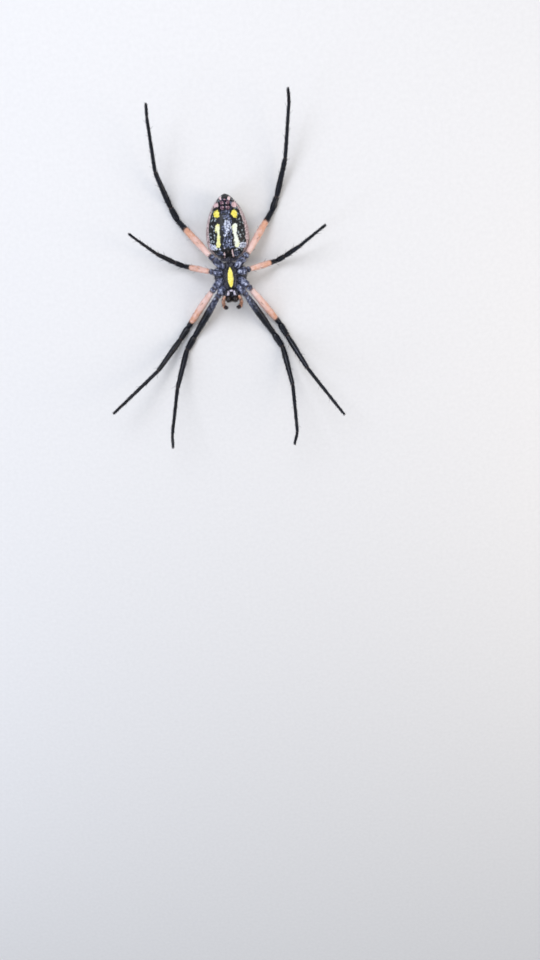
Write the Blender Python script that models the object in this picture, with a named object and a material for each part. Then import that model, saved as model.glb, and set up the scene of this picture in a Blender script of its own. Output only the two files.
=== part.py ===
"""A yellow garden spider, adult female, at life size.

She lies belly up, as she hangs under her web: her back and her knees rest on the floor, her feet reach up
to the height of the web, and her head points along -Y. Blender 4.5, metres, +Z up. The origin is the middle
of the small flat of her abdomen's back, on the floor.
"""

import math

import bmesh
import bpy
from mathutils import Vector

# ---- driving dimensions, in millimetres and degrees ----

MM = 0.001  # one millimetre in Blender's metres
CUT = 0.04  # thin cut between two solids that meet
SIDES = 10  # sides of a leg's rings

ABDOMEN_FRONT, ABDOMEN_BACK = -4.75, 7.7  # Y of its two ends
ABDOMEN_WIDEST = 0.37  # share of its length from the front to its widest place
ABDOMEN_HALF_WIDTH = 4.3
ABDOMEN_AXIS_Z = 3.7  # height of its widest line
ABDOMEN_BELLY, ABDOMEN_DORSUM = 3.4, 3.82  # belly's rise and back's drop from that line
ABDOMEN_RINGS, ABDOMEN_SIDES = 20, 28

STERNUM_Y = -8.2  # middle of the breastplate; the head and legs are placed from it
STERNUM_FRONT, STERNUM_BACK, STERNUM_HALF_WIDTH = -2.05, 2.25, 1.55
STERNUM_TOP = 6.2
SEAT_Z = 4.35  # flat underside of the carapace, on which the leg bases lie

CARAPACE_FRONT, CARAPACE_BACK = -4.75, 3.1  # from the breastplate's middle
HEAD_HALF_WIDTH, THORAX_HALF_WIDTH = 1.7, 3.3
CARAPACE_DEPTH, RIM_DEPTH = 2.3, 0.25
RIM_SHARE = 0.8  # of the rim's depth that stands upright at the carapace's edge
FACE_LENGTH = 1.3  # over which the head curves down to its front edge
SECTION_POWERS = (2.3, 2.2)  # how square the carapace's section is, across and down

SPINNERET_Y, SPINNERET_FLOOR_Z = 5.4, 5.5
EPIGYNE_Y, EPIGYNE_FLOOR_Z = -3.2, 5.95
PEDICEL_Z, PEDICEL_RADIUS = 4.84, 0.42

KNEE_Z = 0.5  # height of the axis of the knees that rest on the floor
BASE_Z, HIP_Z = 5.24, 4.92  # heights of the two ends of a leg's base

# Hind end. Spinneret pairs: shift along, lean along, radius and height of each cone.
SPINNERETS = {"front": (-0.5, 0.16, 0.48, 1.25), "back": (0.5, -0.16, 0.42, 1.1)}
SPINNERET_ACROSS, SPINNERET_LEAN = 0.56, 0.22  # where a cone's foot is, and how far its top leans inwards
SPINNERET_PROFILE = ((0, 1), (0.45, 0.95), (0.62, 0.72), (0.9, 0.5), (1, 0.25))  # share of height, of radius
SPINNERET_FIELD = (1.3, 1.35)  # half width and half length of the pocket they stand in
LOBE_SHIFT, LOBE_SIZE = 1.08, (0.3, 0.2)  # the lobe behind them: how far back, half width and half length
EPIGYNE_SIZE = (0.56, 0.44)  # half width and half length of the belly's plate
EPIGYNE_ROOM = 0.06  # of its pocket round it

# Mouthparts. Each table lists rings from the seat up: height, share of the size, shift along, lean inwards.
LIP = {"along": -2.46, "size": (0.4, 0.34)}
LIP_RINGS = ((SEAT_Z + CUT, 1, 0), (5.7, 1, 0), (5.98, 0.85, -0.03), (6.08, 0.5, -0.05))
MAXILLA = {"across": 0.85, "along": -2.97, "size": (0.46, 0.57)}
MAXILLA_RINGS = ((SEAT_Z + CUT, 1, 0), (5.6, 1, 0), (5.98, 0.85, 0.04), (6.14, 0.5, 0.07))
JAW = {"across": 0.7, "along": -4.28, "size": (0.64, 0.7)}
JAW_RINGS = (
    (SEAT_Z + CUT, 0.9, 0, 0), (4.75, 1.0, -0.1, 0), (5.3, 0.98, -0.08, 0), (5.85, 0.85, 0.04, 0.05),
    (6.15, 0.66, 0.12, 0.1), (6.25, 0.4, 0.14, 0.1),
)
FANG = {"across": 0.43, "along": -4.1, "height": 6.14, "sweep": (0.5, 0.4), "root_radius": 0.17}
FANG_TURN, FANG_SWING = 35, 85  # degrees round its arc where it starts, and how far it goes
PALP_JOINTS = (
    (1.36, -3.6, 5.2), (1.82, -4.6, 4.75), (1.78, -5.2, 4.8), (1.5, -5.75, 5.3), (1.0, -5.95, 6.3),
)  # across, along from the breastplate's middle, height
PALP_GIRTH = ((0, 0.27), (0.2, 0.34), (0.45, 0.3), (0.6, 0.34), (0.8, 0.37), (0.93, 0.31), (1, 0.25))

# Each pair of legs: segment lengths, stoutness, where the leg's base starts and where its hip is (across,
# and along from the breastplate's middle), and the height of its knee's axis.
LEGS = {
    1: {
        "femur": 10.6, "patella": 3.5, "tibia": 8.6, "metatarsus": 10.8, "tarsus": 2.5, "stout": 1.0,
        "base": (1.44, -1.8), "hip": (3.0, -3.75), "knee_z": KNEE_Z,
    },
    2: {
        "femur": 10.2, "patella": 3.3, "tibia": 8.2, "metatarsus": 10.6, "tarsus": 2.4, "stout": 1.0,
        "base": (1.84, -0.3), "hip": (3.95, -2.5), "knee_z": KNEE_Z,
    },
    3: {
        "femur": 6.6, "patella": 2.1, "tibia": 4.3, "metatarsus": 5.3, "tarsus": 1.7, "stout": 0.82,
        "base": (1.74, 0.93), "hip": (3.95, 1.35), "knee_z": 1.6,
    },
    4: {
        "femur": 10.6, "patella": 3.0, "tibia": 7.4, "metatarsus": 10.2, "tarsus": 2.3, "stout": 0.97,
        "base": (1.3, 1.98), "hip": (3.75, 4.35), "knee_z": KNEE_Z,
    },
}
SEGMENTS = ("femur", "patella", "tibia", "metatarsus", "tarsus")

# The pose, in degrees: the way each segment points in plan, from straight ahead outwards, and the pitch of
# each segment past the knee. The thigh's pitch follows from the heights of its hip and knee.
HEADINGS = {
    ("left", 1): (36, 35, 17, 8, -3), ("right", 1): (31, 31, 12, 2, -20),
    ("left", 2): (40, 37, 40, 51, 51), ("right", 2): (36, 28, 30, 37, 38),
    ("left", 3): (104, 114, 121, 131, 135), ("right", 3): (103, 115, 120, 125, 124),
    ("left", 4): (139, 156, 163, 181, 188), ("right", 4): (146, 157, 163, 173, 183),
}
PITCHES = {
    ("left", 1): (3, 27, 34, 28), ("right", 1): (3, 26, 34, 29),
    ("left", 2): (8, 21, 25, 29), ("right", 2): (5, 24, 31, 30),
    ("left", 3): (18, 31, 31, 40), ("right", 3): (22, 35, 30, 39),
    ("left", 4): (5, 26, 29, 33), ("right", 4): (6, 20, 26, 33),
}

# Radius along each leg segment: (share of its length, radius in millimetres at stoutness 1).
GIRTH = {
    "femur": ((0.0, 0.52), (0.1, 0.62), (0.32, 0.76), (0.62, 0.7), (0.9, 0.57), (1.0, 0.54)),
    "patella": ((0.0, 0.55), (0.25, 0.66), (0.7, 0.62), (1.0, 0.53)),
    "tibia": ((0.0, 0.52), (0.2, 0.62), (0.6, 0.53), (0.92, 0.47), (1.0, 0.42)),
    "metatarsus": ((0.0, 0.38), (0.12, 0.4), (0.5, 0.34), (0.95, 0.31), (1.0, 0.28)),
    "tarsus": ((0.0, 0.28), (0.4, 0.29), (0.85, 0.26), (1.0, 0.25)),
}
COXA_GIRTH = ((0.0, 0.5), (0.1, 0.64), (0.4, 0.74), (0.64, 0.69), (0.74, 0.57), (0.86, 0.64), (1.0, 0.54))
LEAST_RADIUS = 0.25
BEND = 0.55  # length of the rounded bend on each side of a joint

EYES = {  # name: (across, height, radius) of each pair, on the front of the head
    "eye_front_middle": (0.25, 3.45, 0.17),
    "eye_back_middle": (0.33, 2.85, 0.18),
    "eye_front_side": (1.12, 3.62, 0.14),
    "eye_back_side": (1.2, 3.28, 0.15),
}

COLOURS = {  # colour and roughness of each finish
    "black_cuticle": ((0.012, 0.012, 0.015), 0.38),
    "orange_cuticle": ((0.62, 0.28, 0.14), 0.45),
    "silver_hair": ((0.42, 0.41, 0.38), 0.6),
    "abdomen_skin": ((0.05, 0.05, 0.04), 0.5),
    "yellow_mark": ((0.8, 0.66, 0.12), 0.5),
    "brown_horn": ((0.17, 0.06, 0.03), 0.3),
    "palp_tan": ((0.5, 0.3, 0.13), 0.5),
    "eye_glass": ((0.01, 0.008, 0.008), 0.08),
}


def clear_scene():
    for obj in list(bpy.data.objects):
        bpy.data.objects.remove(obj, do_unlink=True)


def finish_of(name):
    """The Principled material of one finish, made once."""
    found = bpy.data.materials.get(name)
    if found:
        return found
    made = bpy.data.materials.new(name)
    made.use_nodes = True
    shader = made.node_tree.nodes["Principled BSDF"]
    colour, roughness = COLOURS[name]
    shader.inputs["Base Color"].default_value = (*colour, 1.0)
    shader.inputs["Roughness"].default_value = roughness
    return made


def between(table, share):
    """The value at share along a table of (share, value), eased between its entries."""
    for (a, low), (b, high) in zip(table, table[1:]):
        if share <= b:
            t = (share - a) / (b - a)
            return low + (high - low) * t * t * (3 - 2 * t)
    return table[-1][1]


def solid_from_rings(name, finish, rings):
    """A closed solid through rings of points in millimetres. A ring of one point is a pole."""
    shape = bmesh.new()
    rows = [[shape.verts.new(Vector(point) * MM) for point in ring] for ring in rings]
    for low, high in zip(rows, rows[1:]):
        count = max(len(low), len(high))
        for i in range(count):
            j = (i + 1) % count
            corners = (
                [low[0], high[j], high[i]] if len(low) == 1
                else [low[i], low[j], high[0]] if len(high) == 1
                else [low[i], low[j], high[j], high[i]]
            )
            shape.faces.new(corners)
    for row, turned in ((rows[0], True), (rows[-1], False)):
        if len(row) > 1:
            shape.faces.new(list(reversed(row)) if turned else row)
    bmesh.ops.recalc_face_normals(shape, faces=shape.faces)
    if shape.calc_volume(signed=True) < 0:
        bmesh.ops.reverse_faces(shape, faces=shape.faces)
    mesh = bpy.data.meshes.new(name)
    shape.to_mesh(mesh)
    shape.free()
    mesh.shade_smooth()
    mesh.set_sharp_from_angle(angle=math.radians(50))
    made = bpy.data.objects.new(name, mesh)
    mesh.materials.append(finish_of(finish))
    bpy.context.scene.collection.objects.link(made)
    return made


def rest_on_floor(obj):
    """Cuts off what lies under the floor and closes the cut with one flat face."""
    shape = bmesh.new()
    shape.from_mesh(obj.data)
    everything = shape.verts[:] + shape.edges[:] + shape.faces[:]
    cut = bmesh.ops.bisect_plane(
        shape, geom=everything, dist=1e-8, plane_co=(0, 0, 0), plane_no=(0, 0, -1), clear_outer=True
    )
    rim = [item for item in cut["geom_cut"] if isinstance(item, bmesh.types.BMEdge)]
    bmesh.ops.edgeloop_fill(shape, edges=rim)
    bmesh.ops.recalc_face_normals(shape, faces=shape.faces)
    shape.to_mesh(obj.data)
    shape.free()


def make_cutter(name, rings):
    """A hidden solid that only cuts others."""
    made = solid_from_rings(name, "black_cuticle", rings)
    made.hide_render = True
    made.display_type = "WIRE"
    return made


def cut_with(obj, cutter):
    modifier = obj.modifiers.new("cut_" + cutter.name, "BOOLEAN")
    modifier.operation = "DIFFERENCE"
    modifier.solver = "EXACT"
    modifier.object = cutter


def ring_round(centre, along, wide, high, sides=SIDES):
    """An upright ellipse round a point, square to the direction along."""
    along = Vector(along).normalized()
    across = along.cross(Vector((0, 0, 1))).normalized()
    upward = across.cross(along)
    turns = (2 * math.pi * (i + 0.5) / sides for i in range(sides))
    return [Vector(centre) + across * (wide * math.cos(a)) + upward * (high * math.sin(a)) for a in turns]


def level_ring(centre, wide, long, sides=SIDES):
    """A horizontal ellipse round a point."""
    turns = (2 * math.pi * i / sides for i in range(sides))
    return [Vector(centre) + Vector((wide * math.cos(a), long * math.sin(a), 0)) for a in turns]


# ---- abdomen ----

def abdomen_width_share(share):
    """The abdomen's width at a share of its length: blunt before its widest place, tapered behind it."""
    if share < ABDOMEN_WIDEST:
        return math.sqrt(1 - (1 - share / ABDOMEN_WIDEST) ** 2.6)
    return (1 - ((share - ABDOMEN_WIDEST) / (1 - ABDOMEN_WIDEST)) ** 1.8) ** 0.66


def abdomen_depth_share(share):
    """Its depth, which tapers later than its width."""
    return abdomen_width_share(share) ** 0.82


def abdomen_point(share, turn):
    """The abdomen's skin. turn runs from the right side (0) over the belly (pi / 2) to the left (pi)."""
    wide = ABDOMEN_HALF_WIDTH * abdomen_width_share(share)
    belly_up = math.sin(turn) > 0
    deep = (ABDOMEN_BELLY if belly_up else ABDOMEN_DORSUM) * abdomen_depth_share(share)
    hump = 0.09 * math.exp(-((share - 0.13) / 0.09) ** 2 - ((abs(math.cos(turn)) - 0.72) / 0.22) ** 2)
    swell = 1 if belly_up else 1 + hump
    lift = 0.35 * share ** 3 - 0.55 * max(0.0, 1 - share / ABDOMEN_WIDEST) ** 2
    return Vector((
        wide * swell * math.cos(turn),
        ABDOMEN_FRONT + (ABDOMEN_BACK - ABDOMEN_FRONT) * share,
        ABDOMEN_AXIS_Z + lift + deep * swell * math.sin(turn),
    ))


def make_abdomen():
    rings = [[abdomen_point(0, 0)]]
    for i in range(1, ABDOMEN_RINGS):
        share = (1 - math.cos(math.pi * i / ABDOMEN_RINGS)) / 2
        turns = (2 * math.pi * (j + 0.5) / ABDOMEN_SIDES for j in range(ABDOMEN_SIDES))
        rings.append([abdomen_point(share, turn) for turn in turns])
    rings.append([abdomen_point(1, 0)])
    abdomen = solid_from_rings("abdomen", "abdomen_skin", rings)
    rest_on_floor(abdomen)
    pockets = {
        "spinneret_pocket": (SPINNERET_Y, SPINNERET_FLOOR_Z, *SPINNERET_FIELD),
        "epigyne_pocket": (EPIGYNE_Y, EPIGYNE_FLOOR_Z, *(size + EPIGYNE_ROOM for size in EPIGYNE_SIZE)),
    }
    for name, (y, floor_z, wide, long) in pockets.items():
        walls = [level_ring((0, y, z), wide, long, 20) for z in (floor_z, floor_z + 3)]
        cut_with(abdomen, make_cutter(name, walls))
    bore = [ring_round((0, y, PEDICEL_Z), (0, 1, 0), *[PEDICEL_RADIUS + CUT] * 2) for y in (-6, -4.2)]
    cut_with(abdomen, make_cutter("pedicel_pocket", bore))


def make_spinnerets():
    """Two pairs of cones that lean together, and the small lobe behind them."""
    base_z = SPINNERET_FLOOR_Z + CUT
    for side, sign in (("left", -1), ("right", 1)):
        for row, (along, lean, radius, height) in SPINNERETS.items():
            foot = Vector((sign * SPINNERET_ACROSS, SPINNERET_Y + along, base_z))
            top = foot + Vector((-sign * SPINNERET_LEAN, lean, height))
            rings = [
                level_ring(foot.lerp(top, share), radius * width, radius * width, 8)
                for share, width in SPINNERET_PROFILE
            ]
            solid_from_rings(f"spinneret_{row}_{side}", "brown_horn", rings)
    lobe = [
        level_ring((0, SPINNERET_Y + LOBE_SHIFT, base_z + z), LOBE_SIZE[0] * k, LOBE_SIZE[1] * k)
        for z, k in ((0, 1), (0.35, 0.85), (0.5, 0.35))
    ]
    solid_from_rings("anal_lobe", "brown_horn", lobe)


def make_epigyne():
    """The dark plate of the belly, with its tongue pointing back."""
    base_z = EPIGYNE_FLOOR_Z + CUT
    profile = ((0, 1, 1, 0), (0.4, 1, 1, 0), (0.6, 0.7, 0.75, 0.08), (0.72, 0.35, 0.4, 0.2))
    rings = [
        level_ring((0, EPIGYNE_Y + shift, base_z + z), EPIGYNE_SIZE[0] * wide, EPIGYNE_SIZE[1] * long)
        for z, wide, long, shift in profile
    ]
    solid_from_rings("epigyne", "brown_horn", rings)


def make_pedicel():
    stations = ((-5.8, 1.0), (-5.3, 0.85), (-4.9, 0.85), (-4.7, 1.0), (-4.25, 1.0))
    rings = [ring_round((0, y, PEDICEL_Z), (0, 1, 0), *[PEDICEL_RADIUS * k] * 2) for y, k in stations]
    solid_from_rings("pedicel", "black_cuticle", rings)


# ---- front of the body ----

def face_share(y):
    """0 behind the face and 1 at the head's front edge. y is from the breastplate's middle."""
    return min(1.0, max(0.0, (CARAPACE_FRONT + FACE_LENGTH - y) / FACE_LENGTH))


def carapace_half_width(y):
    """Half the carapace's width: a narrow head in front, then the round thorax."""
    middle = 0.35
    if y > middle:
        share = (y - middle) / (CARAPACE_BACK - middle)
        return THORAX_HALF_WIDTH * math.sqrt(max(0.0, 1 - share ** 2.4))
    share = (middle - y) / (middle - CARAPACE_FRONT)
    neck = 1 / (1 + math.exp((share - 0.42) / 0.1))
    wide = HEAD_HALF_WIDTH + (THORAX_HALF_WIDTH - HEAD_HALF_WIDTH) * neck
    return wide * (1 - 0.45 * face_share(y) ** 3)


def carapace_depth(y):
    """How far the carapace bulges down from its flat underside along its middle."""
    if y > 0:
        return RIM_DEPTH + (CARAPACE_DEPTH - RIM_DEPTH) * math.sqrt(max(0.0, 1 - (y / CARAPACE_BACK) ** 2.6))
    neck = 0.25 * math.exp(-((y + 1.3) / 0.9) ** 2)
    return RIM_DEPTH + (CARAPACE_DEPTH - RIM_DEPTH - neck) * math.sqrt(1 - 0.97 * face_share(y) ** 2.2)


def carapace_section(y, count=12):
    """One upright section: a squarish half round that hangs from the flat underside, above a low rim."""
    wide, deep = carapace_half_width(y), carapace_depth(y)
    rim = min(RIM_DEPTH, deep) * RIM_SHARE
    ring = []
    for j in range(count + 1):
        turn = math.pi * j / count
        across = math.copysign(abs(math.cos(turn)) ** (2 / SECTION_POWERS[0]), math.cos(turn))
        drop = rim + (deep - rim) * math.sin(turn) ** (2 / SECTION_POWERS[1])
        ring.append((wide * across, STERNUM_Y + y, SEAT_Z - drop))
    return ring + [(-wide, STERNUM_Y + y, SEAT_Z), (wide, STERNUM_Y + y, SEAT_Z)]


def make_carapace():
    """A dome over the head and thorax, its flat side up. Eye sockets are cut into the front of the head."""
    count = 16
    shares = ((1 - math.cos(math.pi * i / count)) / 2 for i in range(count + 1))
    reach = CARAPACE_BACK - CARAPACE_FRONT
    rings = [carapace_section(CARAPACE_FRONT + reach * min(share, 0.985)) for share in shares]
    carapace = solid_from_rings("carapace", "silver_hair", rings)
    for name, centre, radius in eye_places():
        cut_with(carapace, make_cutter("socket_" + name, ball_rings(centre, radius + CUT)))


def face_y(across, z):
    """Y of the head's front at a place across it and a height, found by halving."""
    outside, inside = CARAPACE_FRONT, CARAPACE_FRONT + FACE_LENGTH
    for _ in range(30):
        y = (outside + inside) / 2
        rim = RIM_DEPTH * RIM_SHARE
        down = max(0.0, SEAT_Z - z - rim) / (carapace_depth(y) - rim)
        side = across / carapace_half_width(y)
        if side ** SECTION_POWERS[0] + down ** SECTION_POWERS[1] < 1:
            inside = y
        else:
            outside = y
    return STERNUM_Y + inside


def eye_places():
    """(name, middle, radius) of the eight eyes, each a little over half sunk in the front of the head."""
    places = []
    for base, (across, z, radius) in EYES.items():
        for side, sign in (("left", -1), ("right", 1)):
            middle = (sign * (across - 0.2 * radius * across), face_y(across, z) + 0.25 * radius, z)
            places.append((f"{base}_{side}", middle, radius))
    return places


def ball_rings(centre, radius, rows=4, sides=8):
    """A ball as level rings between two poles."""
    rings = [[Vector(centre) + Vector((0, 0, -radius))]]
    for i in range(1, rows):
        turn = math.pi * i / rows
        wide = radius * math.sin(turn)
        rings.append(level_ring(Vector(centre) - Vector((0, 0, radius * math.cos(turn))), wide, wide, sides))
    return rings + [[Vector(centre) + Vector((0, 0, radius))]]


def make_eyes():
    for name, centre, radius in eye_places():
        solid_from_rings(name, "eye_glass", ball_rings(centre, radius))


def sternum_half_width(share):
    """The breastplate's outline, from its front edge (0) to its hind point (1)."""
    return STERNUM_HALF_WIDTH * (1 - share ** 2) ** 0.8 * (1 - 0.42 * max(0.0, 1 - share / 0.32) ** 2)


def make_sternum():
    rings = []
    count = 9
    for i in range(count + 1):
        share = 0.97 * i / count
        y = STERNUM_Y + STERNUM_FRONT + (STERNUM_BACK - STERNUM_FRONT) * share
        wide = sternum_half_width(share)
        crown = STERNUM_TOP - 0.3 * (2 * share - 1) ** 2
        right = ((wide, SEAT_Z + CUT), (wide, crown - 0.45), (wide * 0.82, crown - 0.16), (wide * 0.4, crown))
        rings.append([(x, y, z) for x, z in right] + [(-x, y, z) for x, z in reversed(right)])
    solid_from_rings("sternum", "yellow_mark", rings)


def make_mouth():
    """Lip, two jaw plates, two stout jaws and their folded fangs, in front of the breastplate."""
    wide, long = LIP["size"]
    lip = [
        level_ring((0, STERNUM_Y + LIP["along"] + shift, z), wide * k, long * k) for z, k, shift in LIP_RINGS
    ]
    solid_from_rings("lip", "black_cuticle", lip)
    for side, sign in (("left", -1), ("right", 1)):
        (wide, long), across, y = MAXILLA["size"], MAXILLA["across"], STERNUM_Y + MAXILLA["along"]
        plate = [
            level_ring((sign * (across - lean), y - lean, z), wide * k, long * k)
            for z, k, lean in MAXILLA_RINGS
        ]
        solid_from_rings(f"maxilla_{side}", "black_cuticle", plate)
        (wide, long), across, y = JAW["size"], JAW["across"], STERNUM_Y + JAW["along"]
        jaw = [
            level_ring((sign * (across - lean), y + shift, z), wide * k, long * k, 12)
            for z, k, shift, lean in JAW_RINGS
        ]
        solid_from_rings(f"chelicera_{side}", "palp_tan", jaw)
        solid_from_rings(f"fang_{side}", "brown_horn", fang_rings(sign))


def fang_rings(sign):
    """A folded fang: a thinning tube along an arc over the end of its jaw, from the outer side inwards."""
    rings = []
    for share in (0, 0.3, 0.65, 1):
        turn = math.radians(FANG_TURN + FANG_SWING * share)
        across = FANG["across"] + FANG["sweep"][0] * math.cos(turn)
        height = FANG["height"] + FANG["sweep"][1] * math.sin(turn)
        centre = (sign * across, STERNUM_Y + FANG["along"], height)
        way = (-sign * math.sin(turn), 0.001, math.cos(turn))
        radius = FANG["root_radius"] * (1 - 0.6 * share)
        rings.append(ring_round(centre, way, radius, radius, 8))
    return rings


def make_palps():
    """The two short feelers beside the jaws: one bent tube each, thick at its last joint."""
    for side, sign in (("left", -1), ("right", 1)):
        joints = [Vector((sign * across, STERNUM_Y + along, z)) for across, along, z in PALP_JOINTS]
        rings = tube_rings(joints, lambda share: between(PALP_GIRTH, share), cuts=(0, 0), bend=0.3, sides=8)
        solid_from_rings(f"palp_{side}", "palp_tan", with_round_tip(rings))


# ---- legs ----

def bend_point(before, joint, after, bend, share):
    """(point, direction) on the rounded corner at a joint; share runs from 0 to 1 across it."""
    into, out = (joint - before).normalized(), (after - joint).normalized()
    start, end = joint - into * bend, joint + out * bend
    point = start * (1 - share) ** 2 + joint * (2 * share * (1 - share)) + end * share ** 2
    return point, (into * (1 - share) + out * share).normalized()


def centreline(joints, bend):
    """The smooth path through a leg's joints, as (point, direction, joint number plus share)."""
    path = [(joints[0], (joints[1] - joints[0]).normalized(), 0.0)]
    for i in range(1, len(joints) - 1):
        before, joint, after = joints[i - 1:i + 2]
        reach = min(bend, (joint - before).length * 0.3, (after - joint).length * 0.3)
        into, out = reach / (joint - before).length, reach / (after - joint).length
        for share, place in ((0, i - into), (0.5, i), (1, i + out)):
            path.append((*bend_point(before, joint, after, reach, share), place))
    last = len(joints) - 1
    path.append((joints[-1], (joints[-1] - joints[-2]).normalized(), float(last)))
    return path


def place_on(path, place):
    """(point, direction) of the path at a joint number plus share."""
    for (low, low_way, a), (high, high_way, b) in zip(path, path[1:]):
        if place <= b + 1e-9:
            share = (place - a) / (b - a)
            return low.lerp(high, share), low_way.lerp(high_way, share).normalized()
    return path[-1][0], path[-1][1]


def tube_rings(
    joints, radius_at, cuts=(CUT / 2, CUT / 2), bend=BEND, first=0, last=None, extra=(), sides=SIDES,
):
    """Rings along a jointed tube between two of its joints, with the cut taken off each end."""
    path = centreline(joints, bend)
    last = len(joints) - 1 if last is None else last
    places = sorted({round(p, 4) for _, _, p in path if first <= p <= last} | set(extra) | {first, last})
    rings = []
    for place in places:
        point, way = place_on(path, place)
        if place == first:
            point = point + way * cuts[0]
        if place == last:
            point = point - way * cuts[1]
        radius = radius_at((place - first) / (last - first))
        rings.append(ring_round(point, way, radius, radius, sides))
    return rings


def with_round_tip(rings, length=0.12):
    """The rings and a smaller one past the last, so that a tip ends in a short dome."""
    before, middle = (sum(ring, Vector()) / len(ring) for ring in rings[-2:])
    way = (middle - before).normalized()
    return rings + [[middle + way * length + (point - middle) * 0.55 for point in rings[-1]]]


def heading(degrees, pitch, sign):
    """A direction: degrees from straight ahead (-Y) towards the side, and a pitch above the level."""
    plan, rise = math.radians(degrees), math.radians(pitch)
    return Vector((sign * math.sin(plan) * math.cos(rise), -math.cos(plan) * math.cos(rise), math.sin(rise)))


def leg_joints(side, number):
    """A leg's joints: its base, hip, knee, and the ends of its patella, tibia, metatarsus and tarsus."""
    leg, sign = LEGS[number], -1 if side == "left" else 1
    base = Vector((sign * leg["base"][0], STERNUM_Y + leg["base"][1], BASE_Z))
    hip = Vector((sign * leg["hip"][0], STERNUM_Y + leg["hip"][1], HIP_Z))
    droop = -math.degrees(math.asin((HIP_Z - leg["knee_z"]) / leg["femur"]))
    joints = [base, hip]
    for segment, plan, pitch in zip(SEGMENTS, HEADINGS[side, number], (droop, *PITCHES[side, number])):
        joints.append(joints[-1] + heading(plan, pitch, sign) * leg[segment])
    return joints


def segment_radius(names, stout):
    """The radius along one or more segments that make one node, as a function of the joint place."""
    def radius_at(share):
        place = share * len(names)
        index = min(int(place), len(names) - 1)
        return max(LEAST_RADIUS, stout * between(GIRTH[names[index]], place - index))
    return radius_at


def make_leg(side, number):
    """Four nodes: the base (coxa and trochanter), thigh (femur), shin (patella and tibia) and foot."""
    joints = leg_joints(side, number)
    stout = LEGS[number]["stout"]
    name = f"leg{number}_{side}"
    orange = "black_cuticle" if number == 1 else "orange_cuticle"

    base_rings = []
    way = joints[1] - joints[0]
    _, hip_way = place_on(centreline(joints, BEND), 1)
    for share, radius in COXA_GIRTH:
        point = joints[0] + way * share - hip_way * (CUT / 2 if share == 1 else 0)
        tall = point.z - SEAT_Z - CUT
        wide = radius * (0.93 if number == 3 else 1)
        high = tall * (1 if share else 0.8)
        base_rings.append(ring_round(point, way if share < 1 else hip_way, wide, high))
    solid_from_rings(f"{name}_base", "black_cuticle", base_rings)

    thigh = tube_rings(
        joints, segment_radius(("femur",), stout), first=1, last=2, extra=(1.2, 1.4, 1.65, 1.85)
    )
    rest_on_floor(solid_from_rings(f"{name}_thigh", orange, thigh))
    shin = tube_rings(
        joints, segment_radius(("patella", "tibia"), stout), first=2, last=4, extra=(2.3, 2.55, 3.25, 3.6)
    )
    rest_on_floor(solid_from_rings(f"{name}_shin", "black_cuticle", shin))
    foot = tube_rings(
        joints, segment_radius(("metatarsus", "tarsus"), stout), cuts=(CUT / 2, 0), first=4, last=6,
        extra=(4.35, 4.7, 5.5)
    )
    solid_from_rings(f"{name}_foot", "black_cuticle", with_round_tip(foot))


def main():
    clear_scene()
    make_abdomen()
    make_spinnerets()
    make_epigyne()
    make_pedicel()
    make_carapace()
    make_eyes()
    make_sternum()
    make_mouth()
    make_palps()
    for side in ("left", "right"):
        for number in LEGS:
            make_leg(side, number)


main()
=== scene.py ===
import math
from functools import partial

import bpy
import numpy as np
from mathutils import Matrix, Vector


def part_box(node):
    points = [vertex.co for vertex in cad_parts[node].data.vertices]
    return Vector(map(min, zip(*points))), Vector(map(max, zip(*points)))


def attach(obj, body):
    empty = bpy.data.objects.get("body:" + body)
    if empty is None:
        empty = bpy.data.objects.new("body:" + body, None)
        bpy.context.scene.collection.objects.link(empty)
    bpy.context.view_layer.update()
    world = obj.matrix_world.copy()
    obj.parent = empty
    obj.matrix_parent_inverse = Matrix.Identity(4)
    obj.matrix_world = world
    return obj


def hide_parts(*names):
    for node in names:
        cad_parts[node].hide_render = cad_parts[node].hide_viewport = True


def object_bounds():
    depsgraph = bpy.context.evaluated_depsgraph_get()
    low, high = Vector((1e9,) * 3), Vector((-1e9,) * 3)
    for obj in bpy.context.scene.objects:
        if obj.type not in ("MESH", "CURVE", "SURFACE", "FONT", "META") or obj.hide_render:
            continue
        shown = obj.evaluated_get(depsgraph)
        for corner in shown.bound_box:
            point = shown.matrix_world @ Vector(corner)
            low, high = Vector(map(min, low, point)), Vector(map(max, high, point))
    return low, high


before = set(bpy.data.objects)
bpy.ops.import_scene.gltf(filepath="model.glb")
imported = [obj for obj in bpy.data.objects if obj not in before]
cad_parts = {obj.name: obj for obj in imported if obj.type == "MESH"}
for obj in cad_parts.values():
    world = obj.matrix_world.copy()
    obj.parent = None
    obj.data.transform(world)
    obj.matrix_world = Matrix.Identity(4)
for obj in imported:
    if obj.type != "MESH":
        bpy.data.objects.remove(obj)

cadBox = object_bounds()
print("frame loaded:", len(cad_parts), "solids")

# Lengths below are millimetres unless a name says otherwise. The animal lies belly up, head along -Y.
mm = 0.001
coatDepth = 0.04  # how far a skin lies inside its solid, under the short hair
floorGap = 0.01  # a hair's least height
fullTurn = 2 * np.pi
dice = np.random.default_rng(11)
sideSigns = {"left": -1, "right": 1}


def boxOf(node):
    # the lowest and highest corners of a solid, its middle and half its size
    low, high = (np.array(corner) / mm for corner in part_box(node))
    return low, high, (low + high) / 2, (high - low) / 2


def smoothStep(low, high, value):
    # 0 below low, 1 above high, and the curve 3t^2 - 2t^3 between
    t = np.clip((value - low) / (high - low), 0, 1)
    return t * t * (3 - 2 * t)


def bell(distance, width):
    # a bell curve: 1 at no distance, 0.37 at one width
    return np.exp(-(distance / width) ** 2)


def unit(vectors):
    return vectors / np.linalg.norm(vectors, axis=-1, keepdims=True)


def pointsOf(x, y, z):
    # three coordinates as points; a single number holds for them all
    return np.stack(np.broadcast_arrays(x, y, z), axis=-1)


def window(rise, fall, value):
    # 1 between two soft limits and 0 outside them
    return smoothStep(*rise, value) * smoothStep(*fall, value)


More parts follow.
